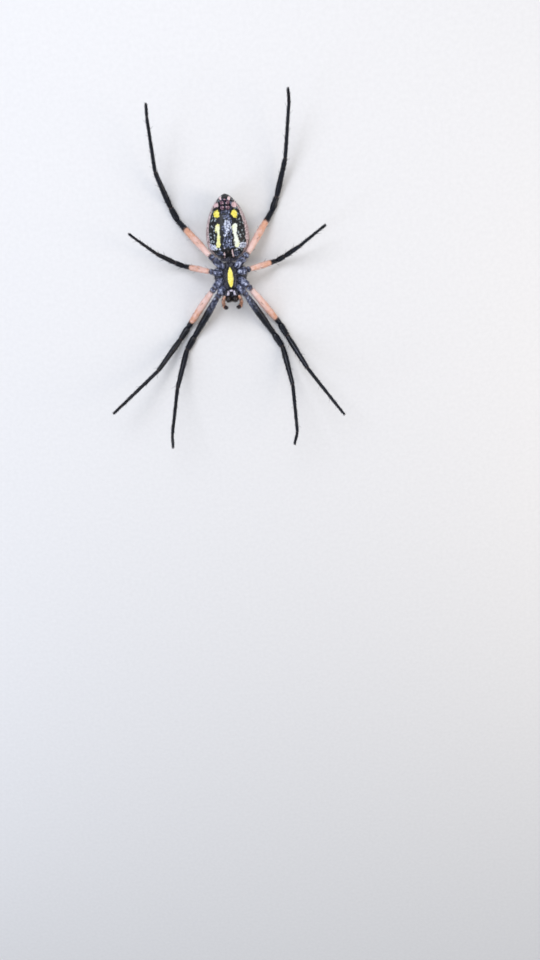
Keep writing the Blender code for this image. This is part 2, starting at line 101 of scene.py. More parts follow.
def evenTurns(columns, offset=0):
    return fullTurn * (np.arange(columns) + offset) / columns


def poleShares(count):
    # shares from 0 to 1 that crowd at both ends, where a surface closes: (1 - cos(pi (i + 0.5) / n)) / 2
    return (1 - np.cos(np.pi * (np.arange(count) + 0.5) / count)) / 2


def ringFaces(rows, columns):
    # four-sided faces between the rings of a tube
    row, column = np.meshgrid(np.arange(rows - 1), np.arange(columns), indexing="ij")
    corner, after = row * columns + column, row * columns + (column + 1) % columns
    return np.stack([corner, after, after + columns, corner + columns], axis=-1).reshape(-1, 4)


def fanFaces(start, columns, pole):
    # triangles from the ring that begins at point start to the pole point
    ring = np.arange(columns)
    return np.stack([start + ring, start + (ring + 1) % columns, np.full(columns, pole)], axis=1)


def makePiece(name, points, faces, material, replaced=(), marks=None, bakePlaces=None):
    # One mesh object: points in millimetres, faces as arrays of three or four corners, marks as point
    # attributes, bakePlaces as each point's place on the bake map, and the material's key.
    mesh = bpy.data.meshes.new(name)
    corners = np.concatenate([part.ravel() for part in faces]).astype(np.int32)
    sizes = np.concatenate([np.full(len(part), part.shape[1]) for part in faces])
    starts = np.concatenate([[0], np.cumsum(sizes)[:-1]])
    mesh.vertices.add(len(points))
    mesh.vertices.foreach_set("co", (points * mm).astype(np.float32).ravel())
    mesh.loops.add(len(corners))
    mesh.loops.foreach_set("vertex_index", corners)
    mesh.polygons.add(len(sizes))
    mesh.polygons.foreach_set("loop_start", starts.astype(np.int32))
    mesh.polygons.foreach_set("use_smooth", np.ones(len(sizes), dtype=bool))
    mesh.update(calc_edges=True)
    for key, values in (marks or {}).items():
        layer = mesh.attributes.new(key, "FLOAT", "POINT")
        layer.data.foreach_set("value", values.astype(np.float32).ravel())
    if bakePlaces is not None:
        layer = mesh.uv_layers.new(name="OFBake")
        layer.uv.foreach_set("vector", bakePlaces[corners].astype(np.float32).ravel())
    mesh.materials.append(materials[material])
    piece = bpy.data.objects.new(name, mesh)
    bpy.context.scene.collection.objects.link(piece)
    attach(piece, "root")
    if replaced:
        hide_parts(*replaced)


def volumeOf(points, faces):
    # six times the signed volume: the sum over triangles of a . (b x c)
    total = 0.0
    for part in faces:
        for corner in range(1, part.shape[1] - 1):
            a, b, c = (points[part[:, index]] for index in (0, corner, corner + 1))
            total += np.einsum("ij,ij->", a, np.cross(b, c))
    return total


def closeSkin(grid):
    # a closed skin from rings: the middles of the first and last ring are its poles, and its faces point
    # out
    rows, columns = grid.shape[:2]
    points = np.concatenate([grid.reshape(-1, 3), grid[:1].mean(axis=1), grid[-1:].mean(axis=1)])
    pole = rows * columns
    faces = [ringFaces(rows, columns), fanFaces(0, columns, pole)[:, ::-1],
             fanFaces(pole - columns, columns, pole + 1)]
    if volumeOf(points, faces) < 0:
        faces = [part[:, ::-1] for part in faces]
    return points, faces


def makeShell(name, grid, material, replaced=(), marks=None):
    # a closed skin as a piece, with marks given for each point of its grid or for each ring
    points, faces = closeSkin(grid)
    filled = {}
    for key, values in (marks or {}).items():
        values = np.broadcast_to(values, grid.shape[:2])
        filled[key] = np.concatenate([values.ravel(), [values[0].mean()], [values[-1].mean()]])
    makePiece(name, points, faces, material, replaced, filled)


def makeJoined(name, grids, material, replaced=()):
    # several closed skins as one piece
    start, points, faces = 0, [], []
    for grid in grids:
        somePoints, someFaces = closeSkin(grid)
        points.append(somePoints)
        faces.extend(part + start for part in someFaces)
        start += len(somePoints)
    makePiece(name, np.concatenate(points), faces, material, replaced)


def patchOf(surface, first, second, step=1e-3):
    # the cross product of a surface's two tangents: it points outward, as long as a small patch is large
    lengthwise = surface(first + step, second) - surface(first - step, second)
    sideways = surface(first, second + step) - surface(first, second - step)
    return np.cross(lengthwise, sideways)


def outwardOf(surface, first, second):
    return unit(patchOf(surface, first, second) + 1e-12)


def pathFrame(centres, top=(0, 0, 1)):
    # at each point of a path: its way, the way across it, and the way up from both
    ways = unit(np.gradient(centres, axis=0))
    across = unit(np.cross(ways, top))
    return ways, across, np.cross(across, ways)


def tubeGrid(centres, wide, tall, columns, lift=0.0, top=(0, 0, 1)):
    # Rings round a path: each is an ellipse square to the path, which starts at its side and passes its
    # top. lift swells or shrinks the radius, point by point.
    _, across, upward = pathFrame(centres, top)
    turns = evenTurns(columns)[:, None]
    radial = across[:, None] * np.cos(turns) * wide[:, None, None]
    radial = radial + upward[:, None] * np.sin(turns) * tall[:, None, None]
    return centres[:, None] + radial * (1 + np.asarray(lift))[..., None]


def scatter(surface, count, low, high):
    # Random places of a surface of two parameters between the limits low and high, even over its area: of
    # four times as many places, each is kept with a chance in proportion to the patch of surface round
    # it.
    first, second = dice.uniform(low, high, (4 * count, 2)).T
    area = np.linalg.norm(patchOf(surface, first, second), axis=-1)
    keep = dice.uniform(0, np.quantile(area, 0.97), len(area)) < area
    return first[keep][:count], second[keep][:count]


hairBuild = {
    "sides": 3, "rings": 3,  # few, because there are tens of thousands of hairs
    "bakePatch": 0.003,  # width of one hair's patch of the bake map
    "varyRise": 0.3, "varyCurl": 0.5, "varyLean": 0.35,
}


def growHairs(roots, outward, lean, length, width, rise, curl):
    # Solid tapered hairs: each leaves its root at the angle rise over the skin towards lean, bends
    # towards lean by curl over its length, and thins as 1 - share^2 from its foot to its tip. Gives the
    # points hair by hair and the faces of one hair.
    sides, rings = hairBuild["sides"], hairBuild["rings"]
    lean = unit(lean - outward * np.einsum("ij,ij->i", lean, outward)[:, None])
    length, rise, curl = length[:, None], rise[:, None], curl[:, None]
    way = outward * np.sin(rise) + lean * np.cos(rise)
    side = unit(np.cross(way, outward + 1e-6))
    other = np.cross(side, way)
    share = np.linspace(0, 1, rings + 1)[:, None]
    spine = roots[:, None] + (way * length)[:, None] * share
    spine = spine + ((lean - outward * 0.5) * curl * length)[:, None] * share ** 2
    turns = evenTurns(sides)[:, None]
    ring = side[:, None] * np.cos(turns) + other[:, None] * np.sin(turns)
    girth = (1 - share[:-1] ** 2)[..., None] * width
    body = spine[:, :-1, None] + ring[:, None] * girth
    hairs = np.concatenate([body.reshape(len(roots), -1, 3), spine[:, -1:]], axis=1)
    tip = sides * rings
    foot = np.arange(sides)[None, ::-1]
    return hairs, [ringFaces(rings, sides), fanFaces(tip - sides, sides, tip), foot]


def makeCoat(name, roots, outward, lean, places, look, material, marks=None):
    # A coat piece from root arrays, its lengths and angles drawn at random round the look's own. Places
    # are the roots' on the skin's own unwrap, which the bake map follows, and each hair carries the marks
    # of its root.
    spread = dice.uniform(-1, 1, (3, len(roots)))
    length = look["length"] * (1 + look["vary"] * spread[0])
    rise = np.radians(look["rise"]) * (1 + hairBuild["varyRise"] * spread[1])
    curl = look["curl"] * (1 + hairBuild["varyCurl"] * spread[2])
    lean = unit(lean + hairBuild["varyLean"] * dice.normal(size=roots.shape))
    width = look["width"]
    hairs, hairFaces = growHairs(roots - outward * width, outward, lean, length, width, rise, curl)
    above = hairs[..., 2].min(axis=1) > floorGap  # hairs that would reach through the floor are left out
    hairs, places = hairs[above], places[above]
    count, each = hairs.shape[:2]
    start = (np.arange(count) * each)[:, None, None]
    faces = [(part + start).reshape(-1, part.shape[1]) for part in hairFaces]
    marks = {key: np.repeat(values[above], each) for key, values in (marks or {}).items()}
    sides, patch = hairBuild["sides"], hairBuild["bakePatch"]
    index = np.arange(each)
    local = np.stack([index % sides / sides, index // sides / (each // sides)], axis=1) * patch
    bakePlaces = (places[:, None] * (1 - patch) + local).reshape(-1, 2)
    makePiece(name, hairs.reshape(-1, 3), faces, material, (), marks, bakePlaces)


def placesOf(share, turn, start=-np.pi, span=fullTurn):
    # places on the bake map: the share along it, and the turn from start across it
    return np.stack([share, (turn - start) / span], axis=1)


def toLinear(hexColour):
    # an sRGB hex colour as linear red, green, blue and alpha
    channels = np.array([int(hexColour[i:i + 2], 16) / 255 for i in (1, 3, 5)])
    linear = np.where(channels <= 0.04045, channels / 12.92, ((channels + 0.055) / 1.055) ** 2.4)
    return (*linear.tolist(), 1.0)


def perMetre(size):
    # the texture scale whose features are size millimetres across
    return 1 / (size * mm)


def addNode(tree, kind, inputs=None, stops=(), out=0, **settings):
    # One shader node: sockets are linked, other values are set on the node's own sockets, and stops fill
    # its ramp. Gives back the output named or counted by out.
    node = tree.nodes.new("ShaderNode" + kind)
    for key, value in settings.items():
        setattr(node, key, value)
    for key, value in (inputs or {}).items():
        if isinstance(value, bpy.types.NodeSocket):
            tree.links.new(value, node.inputs[key])
        else:
            node.inputs[key].default_value = value
    for index, (place, hexColour) in enumerate(stops):
        element = node.color_ramp.elements[index] if index < 2 else node.color_ramp.elements.new(place)
        element.position = place
        element.color = toLinear(hexColour)
    return None if out is None else node.outputs[out]


def startMaterial(name):
    # an empty material, addNode for its own tree, and its object coordinates, in metres
    material = bpy.data.materials.new(name)
    material.use_nodes = True
    material.node_tree.nodes.clear()
    add = partial(addNode, material.node_tree)
    return material, add, add("TexCoord", out="Object")


def endMaterial(add, colour, roughness, height=None, depth=0.01, **sockets):
    # the Principled shader and its bump, whose depth is in millimetres
    inputs = {"Base Color": colour, "Roughness": roughness, **sockets}
    if height is not None:
        inputs["Normal"] = add("Bump", {"Height": height, "Distance": depth * mm, "Strength": 1.0})
    add("OutputMaterial", {"Surface": add("BsdfPrincipled", inputs)}, out=None)


def legCuticle():
    # Hard waxed cuticle of a leg: glossy near-black with a cold bloom, peach on the thighs, so that each tube
    # shows a long soft highlight. The coxae have darker clouds and a few white flecks under a blue-grey cast
    # that is a painted sky reflection, and a first leg's thigh carries that blue-grey a little way as a
    # painted bluish sheen.
    # Hair sockets, really 0.03 mm wide, are drawn at 0.09 mm to show.
    material, add, place = startMaterial("waxedLegCuticle")
    black, soft, coxaMottleAndSkySheen = (add("Attribute", out="Fac", attribute_name=key)
                          for key in ("black", "membrane", "coxaMottleAndSkySheen"))
    broad = add("TexNoise", {"Vector": place, "Scale": perMetre(1.1), "Detail": 4.0})
    fine = add("TexNoise", {"Vector": place, "Scale": perMetre(0.2), "Detail": 5.0})
    cloud = add("TexNoise", {"Vector": place, "Scale": perMetre(0.5), "Detail": 7.0, "Roughness": 0.68})
    deepen = add("Math", {0: black, 1: 0.05, 2: broad}, operation="MULTIPLY_ADD")
    peach = add("ValToRGB", {"Fac": deepen}, ((0.0, "#eed0c6"), (0.32, "#e8c0b0"), (0.52, "#dfa88a")))
    dark = add("ValToRGB", {"Fac": broad}, ((0.35, "#04060b"), (0.6, "#0a0e1a"), (0.8, "#151927")))
    wobble = add("Math", {0: fine, 1: 0.6, 2: black}, operation="MULTIPLY_ADD")
    edge = add("MapRange", {"Value": wobble, "From Min": 0.1, "From Max": 0.5})
    patchy = add("Mix", {0: 0.3, 2: cloud, 3: broad})
    # the coxae's own darker clouds and white flecks, under a blue-grey cast that is a painted sky reflection
    grey = add("ValToRGB", {"Fac": patchy},
               ((0.39, "#10121a"), (0.46, "#333749"), (0.53, "#6a708b"), (0.6, "#c2c8da")))
    colour = peach
    for share, shade in ((edge, dark), (coxaMottleAndSkySheen, grey), (soft, toLinear("#3d2f29"))):
        colour = add("Mix", {0: share, 6: colour, 7: shade}, out=2, data_type="RGBA")
    rough = add("MapRange", {"Value": fine, "To Min": 0.2, "To Max": 0.36})
    rough = add("Math", {0: coxaMottleAndSkySheen, 1: 0.2, 2: rough}, operation="MULTIPLY_ADD")
    sockets = add("TexVoronoi", {"Vector": place, "Scale": perMetre(0.09)})
    height = add("Math", {0: sockets, 1: fine}, operation="ADD")
    bloom = {"Sheen Weight": 0.05, "Sheen Tint": toLinear("#b9caff"), "Sheen Roughness": 0.35}
    endMaterial(add, colour, rough, height, 0.006, **bloom, **{"IOR": 1.45, "Specular IOR Level": 0.4})
    return material


def abdomenSkinMaterial():
    # Soft, finely pleated skin with pigment under it: satin, black, with cream, yellow, blue-grey, white
    # and pink marks whose edges break up over about 0.1 mm. The pleats are 0.1 mm apart.
    material, add, place = startMaterial("pleatedAbdomenSkin")
    read = {key: add("Attribute", out="Fac", attribute_name=key)
            for key in ("cream", "yellow", "median", "pale", "pink", "flank", "rim", "dark")}
    broad = add("TexNoise", {"Vector": place, "Scale": perMetre(0.9), "Detail": 5.0})
    fine = add("TexNoise", {"Vector": place, "Scale": perMetre(0.28), "Detail": 6.0})
    ragged = add("MapRange", {"Value": fine, "To Min": -0.3, "To Max": 0.3})
    wave = add("Math", {0: broad, 1: 0.8, 2: ragged}, operation="MULTIPLY_ADD")
    ragged = add("Math", {0: wave, 1: 0.4}, operation="SUBTRACT")
    patchy = add("Mix", {0: 0.4, 2: fine, 3: broad})
    colour = add("ValToRGB", {"Fac": fine}, ((0.35, "#040405"), (0.7, "#121013")))

    # pale flecks of the flanks: cells 0.55 mm across, eaten away by noise
    cells = add("TexVoronoi", {"Vector": place, "Scale": perMetre(0.55)}, feature="F1")
    eaten = add("Math", {0: fine, 1: -1.3, 2: cells}, operation="MULTIPLY_ADD")
    mottle = add("MapRange", {"Value": eaten, "From Min": -0.25, "From Max": -0.38})
    mottle = add("Math", {0: mottle, 1: read["flank"]}, operation="MULTIPLY")
    fleckShade = add("ValToRGB", {"Fac": broad}, ((0.4, "#5c6868"), (0.62, "#b4bec4")))
    colour = add("Mix", {0: mottle, 6: colour, 7: fleckShade}, out=2, data_type="RGBA")

    # each mark's own shades, run over the noise; the cream stripe is painted paler on the animal's right, a
    # painted highlight
    across = add("SeparateXYZ", {"Vector": place})
    # painted highlight: the cream is shifted towards white on the animal's right side
    paintedHighlight = add("MapRange", {"Value": across, "From Max": 1 * mm, "To Max": 0.26})
    creamUnderHighlight = add("Math", {0: broad, 1: paintedHighlight}, operation="SUBTRACT")
    shades = {
        "rim": (fine, ((0.36, "#2a2022"), (0.42, "#9c8584"), (0.53, "#d0b9b7"), (0.69, "#ecdfe0"))),
        "median": (patchy, ((0.41, "#07080c"), (0.48, "#292c3b"), (0.55, "#69718e"), (0.64, "#c0c8de"))),
        "pale": (fine, ((0.38, "#5f6478"), (0.5, "#b9bfd0"), (0.65, "#e9edf4"))),
        "pink": (broad, ((0.35, "#c79a9d"), (0.5, "#dfbcbc"), (0.7, "#f3e3e0"))),
        "cream": (creamUnderHighlight, ((0.2, "#eef2e4"), (0.4, "#f1f2bb"), (0.65, "#ede477"))),
        "yellow": (fine, ((0.3, "#e5cc38"), (0.5, "#f3e75c"), (0.72, "#fbf6a8"))),
    }
    for key, (factor, stops) in shades.items():
        shade = add("ValToRGB", {"Fac": factor}, stops)
        distance = add("Math", {0: read[key], 1: ragged}, operation="ADD")
        share = add("MapRange", {"Value": distance, "From Min": -0.04, "From Max": 0.06})
        colour = add("Mix", {0: share, 6: colour, 7: shade}, out=2, data_type="RGBA")
    colour = add("Mix", {0: read["dark"], 6: colour, 7: toLinear("#08070a")}, out=2, data_type="RGBA")

    pleats = add("TexVoronoi", {"Vector": place, "Scale": perMetre(0.1)}, feature="SMOOTH_F1")
    height = add("Math", {0: pleats, 1: fine}, operation="ADD")
    rough = add("MapRange", {"Value": fine, "To Min": 0.32, "To Max": 0.52})
    endMaterial(add, colour, rough, height, 0.012,
                **{"IOR": 1.45, "Sheen Weight": 0.04, "Sheen Roughness": 0.5})
    return material


def shellCuticle(name, low, high, roughness, size, mark=None, markColours=("#ecd634", "#fbf184")):
    # Hard shell plate: smooth cuticle with a fine grain of the given size in mm, and an optional mark
    material, add, place = startMaterial(name)
    grain = add("TexNoise", {"Vector": place, "Scale": perMetre(size), "Detail": 5.0})
    colour = add("ValToRGB", {"Fac": grain}, ((0.35, low), (0.68, high)))
    if mark:
        pale = add("ValToRGB", {"Fac": grain}, zip((0.35, 0.65), markColours))
        field = add("Attribute", out="Fac", attribute_name=mark)
        ragged = add("Math", {0: grain, 1: 0.35, 2: field}, operation="MULTIPLY_ADD")
        share = add("MapRange", {"Value": ragged, "From Min": 0.12, "From Max": 0.22})
        colour = add("Mix", {0: share, 6: colour, 7: pale}, out=2, data_type="RGBA")
    rough = add("MapRange", {"Value": grain, "To Min": roughness - 0.08, "To Max": roughness + 0.1})
    endMaterial(add, colour, rough, grain, 0.02, **{"IOR": 1.54})
    return material


def hairMaterial(name, low, high):
    # Dry hair: a stiff hollow bristle, satin, its shade varying from hair to hair over about 0.5 mm
    material, add, place = startMaterial(name)
    shade = add("TexNoise", {"Vector": place, "Scale": perMetre(0.5), "Detail": 2.0})
    colour = add("ValToRGB", {"Fac": shade}, ((0.35, low), (0.65, high)))
    endMaterial(add, colour, add("MapRange", {"Value": shade, "To Min": 0.4, "To Max": 0.6}), **{"IOR": 1.55})
    return material


def eyeLens():
    # Clear cuticle lens over black pigment: mirror-smooth, with the faintest waviness
    material, add, place = startMaterial("polishedEyeLens")
    shade = add("TexNoise", {"Vector": place, "Scale": perMetre(0.2)})
    colour = add("ValToRGB", {"Fac": shade}, ((0.3, "#050404"), (0.8, "#1b100a")))
    rough = add("MapRange", {"Value": shade, "To Min": 0.03, "To Max": 0.1})
    endMaterial(add, colour, rough, **{"IOR": 1.5, "Coat Weight": 1.0, "Coat Roughness": 0.02})
    return material


materials = {
    "leg": legCuticle(),
    "abdomen": abdomenSkinMaterial(),
    "carapace": shellCuticle("silveredCarapaceShell", "#4a3f37", "#94846f", 0.42, 0.35, "dark",
                             ("#0d0d13", "#272835")),
    "pleura": shellCuticle("foldedSideMembrane", "#0d0d13", "#2c2d39", 0.5, 0.3),
    "sternum": shellCuticle("breastplateShell", "#060608", "#151419", 0.34, 0.25, "stripe"),
    "mouth": shellCuticle("mouthPlateShell", "#0c0b10", "#2a2731", 0.4, 0.2, "tip", ("#9f97a4", "#e4deea")),
    "jaw": shellCuticle("jawShell", "#0c0a0d", "#33231d", 0.3, 0.4),
    "horn": shellCuticle("redBrownHorn", "#5f3445", "#b98599", 0.46, 0.2, "tip", ("#b996a4", "#e9d6da")),
    "fang": shellCuticle("blackFangHorn", "#070404", "#24100b", 0.2, 0.3),
    "palp": shellCuticle("paleFeelerCuticle", "#d69a78", "#f0cbb4", 0.4, 0.5, "tip", ("#1c1516", "#33262a")),
    "darkHair": hairMaterial("blackBristle", "#060608", "#1d1c22"),
    "greyHair": hairMaterial("smokyHair", "#474656", "#a3a1b2"),
    "paleHair": hairMaterial("silverHair", "#c4c0b8", "#f4f2ec"),
    "eye": eyeLens(),
}
print("materials made:", len(materials))


def nodeMesh(node):
    # a solid's points in millimetres, with doubles welded, and the edges of its triangles
    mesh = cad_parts[node].data
    points = np.empty(len(mesh.vertices) * 3, dtype=np.float32)
    mesh.vertices.foreach_get("co", points)
    mesh.calc_loop_triangles()
    corners = np.empty(len(mesh.loop_triangles) * 3, dtype=np.int32)
    mesh.loop_triangles.foreach_get("vertices", corners)
    welded, index = np.unique(np.round(points.reshape(-1, 3) / mm, 3), axis=0, return_inverse=True)
    corners = index.ravel()[corners].reshape(-1, 3)
    edges = np.concatenate([corners[:, [0, 1]], corners[:, [1, 2]], corners[:, [2, 0]]])
    return welded, np.unique(np.sort(edges, axis=1), axis=0)


def cutTube(node, towards, count, margin=0.12):
    # Cuts a tubular solid by planes square to its long axis, from its near end to the end nearer towards.
    # Each cut gives the middle, half width and half height of the ring of points where edges cross the
    # plane.
    points, edges = nodeMesh(node)
    middle = points.mean(axis=0)
    axis = np.linalg.svd(points - middle, full_matrices=False)[2][0]
    axis = axis * np.sign(axis @ (towards - middle))
    heights = (points - middle) @ axis
    levels = np.linspace(heights.min() + margin, heights.max() - margin, count)[:, None]
    start, end = edges.T
    low, high = heights[start], heights[end]
    crossed = (low - levels) * (high - levels) < 0
    share = (levels - low) / np.where(high == low, 1, high - low)
    ring = points[start] + share[..., None] * (points[end] - points[start])
    centres = middle + levels * axis
    across = unit(np.cross(axis, [0, 0, 1]))
    halves = []
    for way in (across, np.cross(across, axis)):
        reach = ring @ way
        least = np.where(crossed, reach, np.inf).min(axis=1)
        most = np.where(crossed, reach, -np.inf).max(axis=1)
        centres = centres + ((least + most) / 2 - centres @ way)[:, None] * way
        halves.append((most - least) / 2)
    flats = math.cos(math.pi / 10)  # the solids' rings are ten-sided, with a flat at each side
    return np.column_stack([centres, halves[0] / flats, halves[1]])


def softened(values, spacing, reach):
    # a moving average with bell-shaped weights over reach millimetres, its ends held
    half = max(1, int(2 * reach / spacing))
    weights = bell(np.arange(-half, half + 1) * spacing, reach)
    weights /= weights.sum()
    before, after = 2 * values[:1] - values[half:0:-1], 2 * values[-1:] - values[-2:-half - 2:-1]
    padded = np.concatenate([before, values, after])
    return np.stack([np.convolve(column, weights, "valid") for column in padded.T], axis=1)


legLook = {
    "cuts": {"base": 12, "thigh": 34, "shin": 36, "foot": 40},  # along each solid of a leg
    "spacing": 0.07,  # between rings
    "columns": 28,
    "starts": 0.4, "ends": 0.18,  # how far a leg runs on past its first and last cuts
    "coxaShare": 0.73,  # of the leg's base: where the coxa ends and the trochanter starts
    "patellaShare": {1: 0.29, 2: 0.29, 3: 0.33, 4: 0.29},  # of the shin
    "metatarsusShare": {1: 0.81, 2: 0.815, 3: 0.76, 4: 0.815},  # of the foot
    "orangeShare": {2: 0.84, 3: 0.74, 4: 0.73},  # of the thigh, from its start; the first legs have none
    "skySheenReach": 4.5,  # how far a painted bluish sheen, the coxa's blue-grey carried on, fades out along a first leg's thigh
    "trench": 0.2,  # depth of the soft ring at a joint, as a share of the radius
    "trenchWidth": 0.15,
    "lip": 0.035,  # height of the rim beside that ring, as a share of the radius
    "hairs": 4200, "hairsLength": 36,  # so many hairs on a leg of this length
    "hair": {"length": 0.36, "vary": 0.45, "width": 0.011, "rise": 30, "curl": 0.12},
    "coxaHairs": 420,
    "coxaHair": {"length": 0.26, "vary": 0.4, "width": 0.009, "rise": 26, "curl": 0.15},
    "spine": {"length": 1.0, "vary": 0.25, "width": 0.034, "rise": 42, "curl": 0.06},
    "spines": {"thigh": 9, "patella": 2, "tibia": 11, "metatarsus": 10},
    "claws": ((-0.09, 0.3), (0.09, 0.3), (0.0, 0.2)),  # place across the foot and size of each
    "clawGirth": 1 / 6,  # as a share of its size
}


def tubePath(nodes):
    # One smooth path through a chain of tubular solids: their cuts joined, read at an even spacing and
    # softened. Also gives how far along the path each solid starts and ends.
    spacing = legLook["spacing"]
    middles = [nodeMesh(node)[0].mean(axis=0) for node in nodes]
    towards = middles[1:] + [2 * middles[-1] - middles[-2]]
    cuts = [cutTube(*each) for each in zip(nodes, towards, legLook["cuts"].values())]
    table = np.concatenate(cuts)
    first, last = table[0].copy(), table[-1].copy()
    first[:3] -= unit(table[1, :3] - table[0, :3]) * legLook["starts"]
    last[:3] += unit(table[-1, :3] - table[-2, :3]) * legLook["ends"]
    first[3:], last[3:] = first[3:] * 0.8, last[3:] * 0.6
    table = np.concatenate([[first], table, [last]])
    run = np.concatenate([[0], np.cumsum(np.linalg.norm(np.diff(table[:, :3], axis=0), axis=1))])
    ends = np.cumsum([len(cut) for cut in cuts])
    borders = [0.0, *[(run[end] + run[end + 1]) / 2 for end in ends[:-1]], run[-1]]
    along = np.arange(0, run[-1], spacing)
    even = np.stack([np.interp(along, run, column) for column in table.T], axis=1)
    wide, tall = softened(even[:, 3:], spacing, 0.1).T
    return along, softened(even[:, :3], spacing, 0.25), wide, tall, borders


def jointFields(along, joints, girth):
    # trench: a flat-bottomed dip just past each joint; lip: a low rim on the near side of it
    reach = legLook["trenchWidth"] * (girth / 0.5)
    trench = sum(np.exp(-((along - joint) / reach) ** 4) for joint in joints)
    return trench, sum(bell(along - joint + 2.1 * reach, reach) for joint in joints)


def makeLeg(side, number):
    # One leg: a tube along its solids' path, narrowed at each joint and rounded at both ends, with a coat
    # of short hair, softer hair on the coxa, spines and claws.
    name = f"leg{number}_{side}"
    parts = list(legLook["cuts"])
    nodes = [f"{name}_{part}" for part in parts]
    along, centres, wide, tall, borders = tubePath(nodes)
    length, columns = along[-1], legLook["columns"]

    def runAt(part, share):
        # how far along the leg a share of one of its solids lies
        start, end = borders[parts.index(part):][:2]
        return start + (end - start) * share

    joints = [runAt("base", legLook["coxaShare"]), borders[1], borders[2],
              runAt("shin", legLook["patellaShare"][number]), borders[3],
              runAt("foot", legLook["metatarsusShare"][number])]
    trench, lip = jointFields(along, joints, (wide + tall) / 2)
    inner = 0.75 + 0.25 * np.sin(evenTurns(columns))  # a joint's soft ring is deepest on top, inside its bend
    lift = -legLook["trench"] * trench[:, None] * inner + legLook["lip"] * lip[:, None]
    endRound = np.sqrt(np.clip((length - along) / 0.22, 0.02, 1)) * np.sqrt(np.clip(along / 0.25, 0.1, 1))
    grid = tubeGrid(centres, (wide - coatDepth) * endRound, (tall - coatDepth) * endRound, columns, lift)
    grid[..., 2] = np.maximum(grid[..., 2], floorGap)
    blackFrom = runAt("thigh", legLook["orangeShare"][number]) if number > 1 else borders[1] - 1
    isBase = along < borders[1]
    # painted bluish sheen: the first leg's thigh carries the coxa's blue-grey a little way, fading out along
    # it
    thighSkySheen = 0.85 * np.clip(1 - (along - borders[1]) / legLook["skySheenReach"], 0, 1) * (number == 1)
    ringMarks = {
        "black": np.where(isBase, 1.0, along - blackFrom),
        "membrane": trench * 0.8,
        "coxaMottleAndSkySheen": np.where(isBase, 1.0, thighSkySheen),
    }
    shellMarks = {key: values[:, None] for key, values in ringMarks.items()}
    makeShell(f"{name}_skin", grid, "leg", nodes, shellMarks)

    frames = pathFrame(centres)
    row = (list(sideSigns).index(side) * 4 + number - 1) / 8  # each leg has an eighth of the bake map

    def addHairs(kind, run, turn, lowest, look, material, marks):
        # hairs at runs along the leg and turns round it, none of them rooted lower than lowest
        place, way, across, upward = (
            np.stack([np.interp(run, along, column) for column in table.T], axis=1)
            for table in (centres, *frames)
        )
        out = across * np.cos(turn)[:, None] + upward * np.sin(turn)[:, None]
        radius = np.interp(run, along, (wide + tall) / 2) - coatDepth
        sink = np.interp(run, along, trench) * legLook["trench"] * 0.75
        roots = place + out * (radius * (1 - sink))[:, None]
        places = np.stack([run / length, row + (turn / fullTurn) % 1 / 8 * 0.96], axis=1)
        keep = roots[:, 2] > lowest
        rootMarks = {key: np.interp(run[keep], along, values) for key, values in marks.items()}
        makeCoat(f"{name}_{kind}", roots[keep], out[keep], way[keep], places[keep], look, material,
                 rootMarks)

    count = int(legLook["hairs"] * length / legLook["hairsLength"])
    run, turn = dice.uniform(0.3, length - 0.1, count), dice.uniform(0, fullTurn, count)
    addHairs("hair", run, turn, 0.12, legLook["hair"], "leg", ringMarks)

    count = legLook["coxaHairs"]
    run, turn = dice.uniform(0.2, borders[1] + 0.3, count), dice.uniform(0, fullTurn, count)
    addHairs("coxaHair", run, turn, -1, legLook["coxaHair"], "greyHair", {})

    stretches = {"thigh": (runAt("thigh", 0.1), runAt("thigh", 0.95)),
                 "patella": (runAt("shin", 0.05), joints[3] - 0.2),
                 "tibia": (joints[3] + 0.4, runAt("shin", 0.97)),
                 "metatarsus": (runAt("foot", 0.04), joints[5] - 0.3)}
    run = np.concatenate([
        np.linspace(*stretches[key], amount) + dice.uniform(-0.2, 0.2, amount)
        for key, amount in legLook["spines"].items()
    ])
    turn = fullTurn * 0.618 * np.arange(len(run)) + dice.uniform(-0.3, 0.3, len(run))  # a golden angle apart
    addHairs("spines", run, turn, 0.5, legLook["spine"], "darkHair", {})
    makeClaws(name, centres[-1], *(directions[-1] for directions in frames))


def makeClaws(name, place, way, across, upward):
    # Hooked claws at a foot's end: a pair side by side and a smaller one between them. Each is a horn
    # whose axis is a quarter circle that turns from the foot's way towards its inner side.
    share = np.linspace(0, 1, 9)
    bend = share[:, None] * np.pi / 2
    grids = []
    for shift, size in legLook["claws"]:
        hook = np.sin(bend) * way + (1 - np.cos(bend)) * upward
        line = place - way * 0.08 + across * shift + size * hook
        girth = legLook["clawGirth"] * size * (1 - 0.85 * share)
        grids.append(tubeGrid(line, girth, girth, 8))
    makeJoined(f"{name}_claws", grids, "fang")


for side in sideSigns:
    for number in (1, 2, 3, 4):
        makeLeg(side, number)
print("legs made")


def gridOf(look, offset=0):
    # shares and turns of a surface's grid, closer together towards its two poles
    return np.meshgrid(poleShares(look["rows"]), evenTurns(look["columns"], offset), indexing="ij")


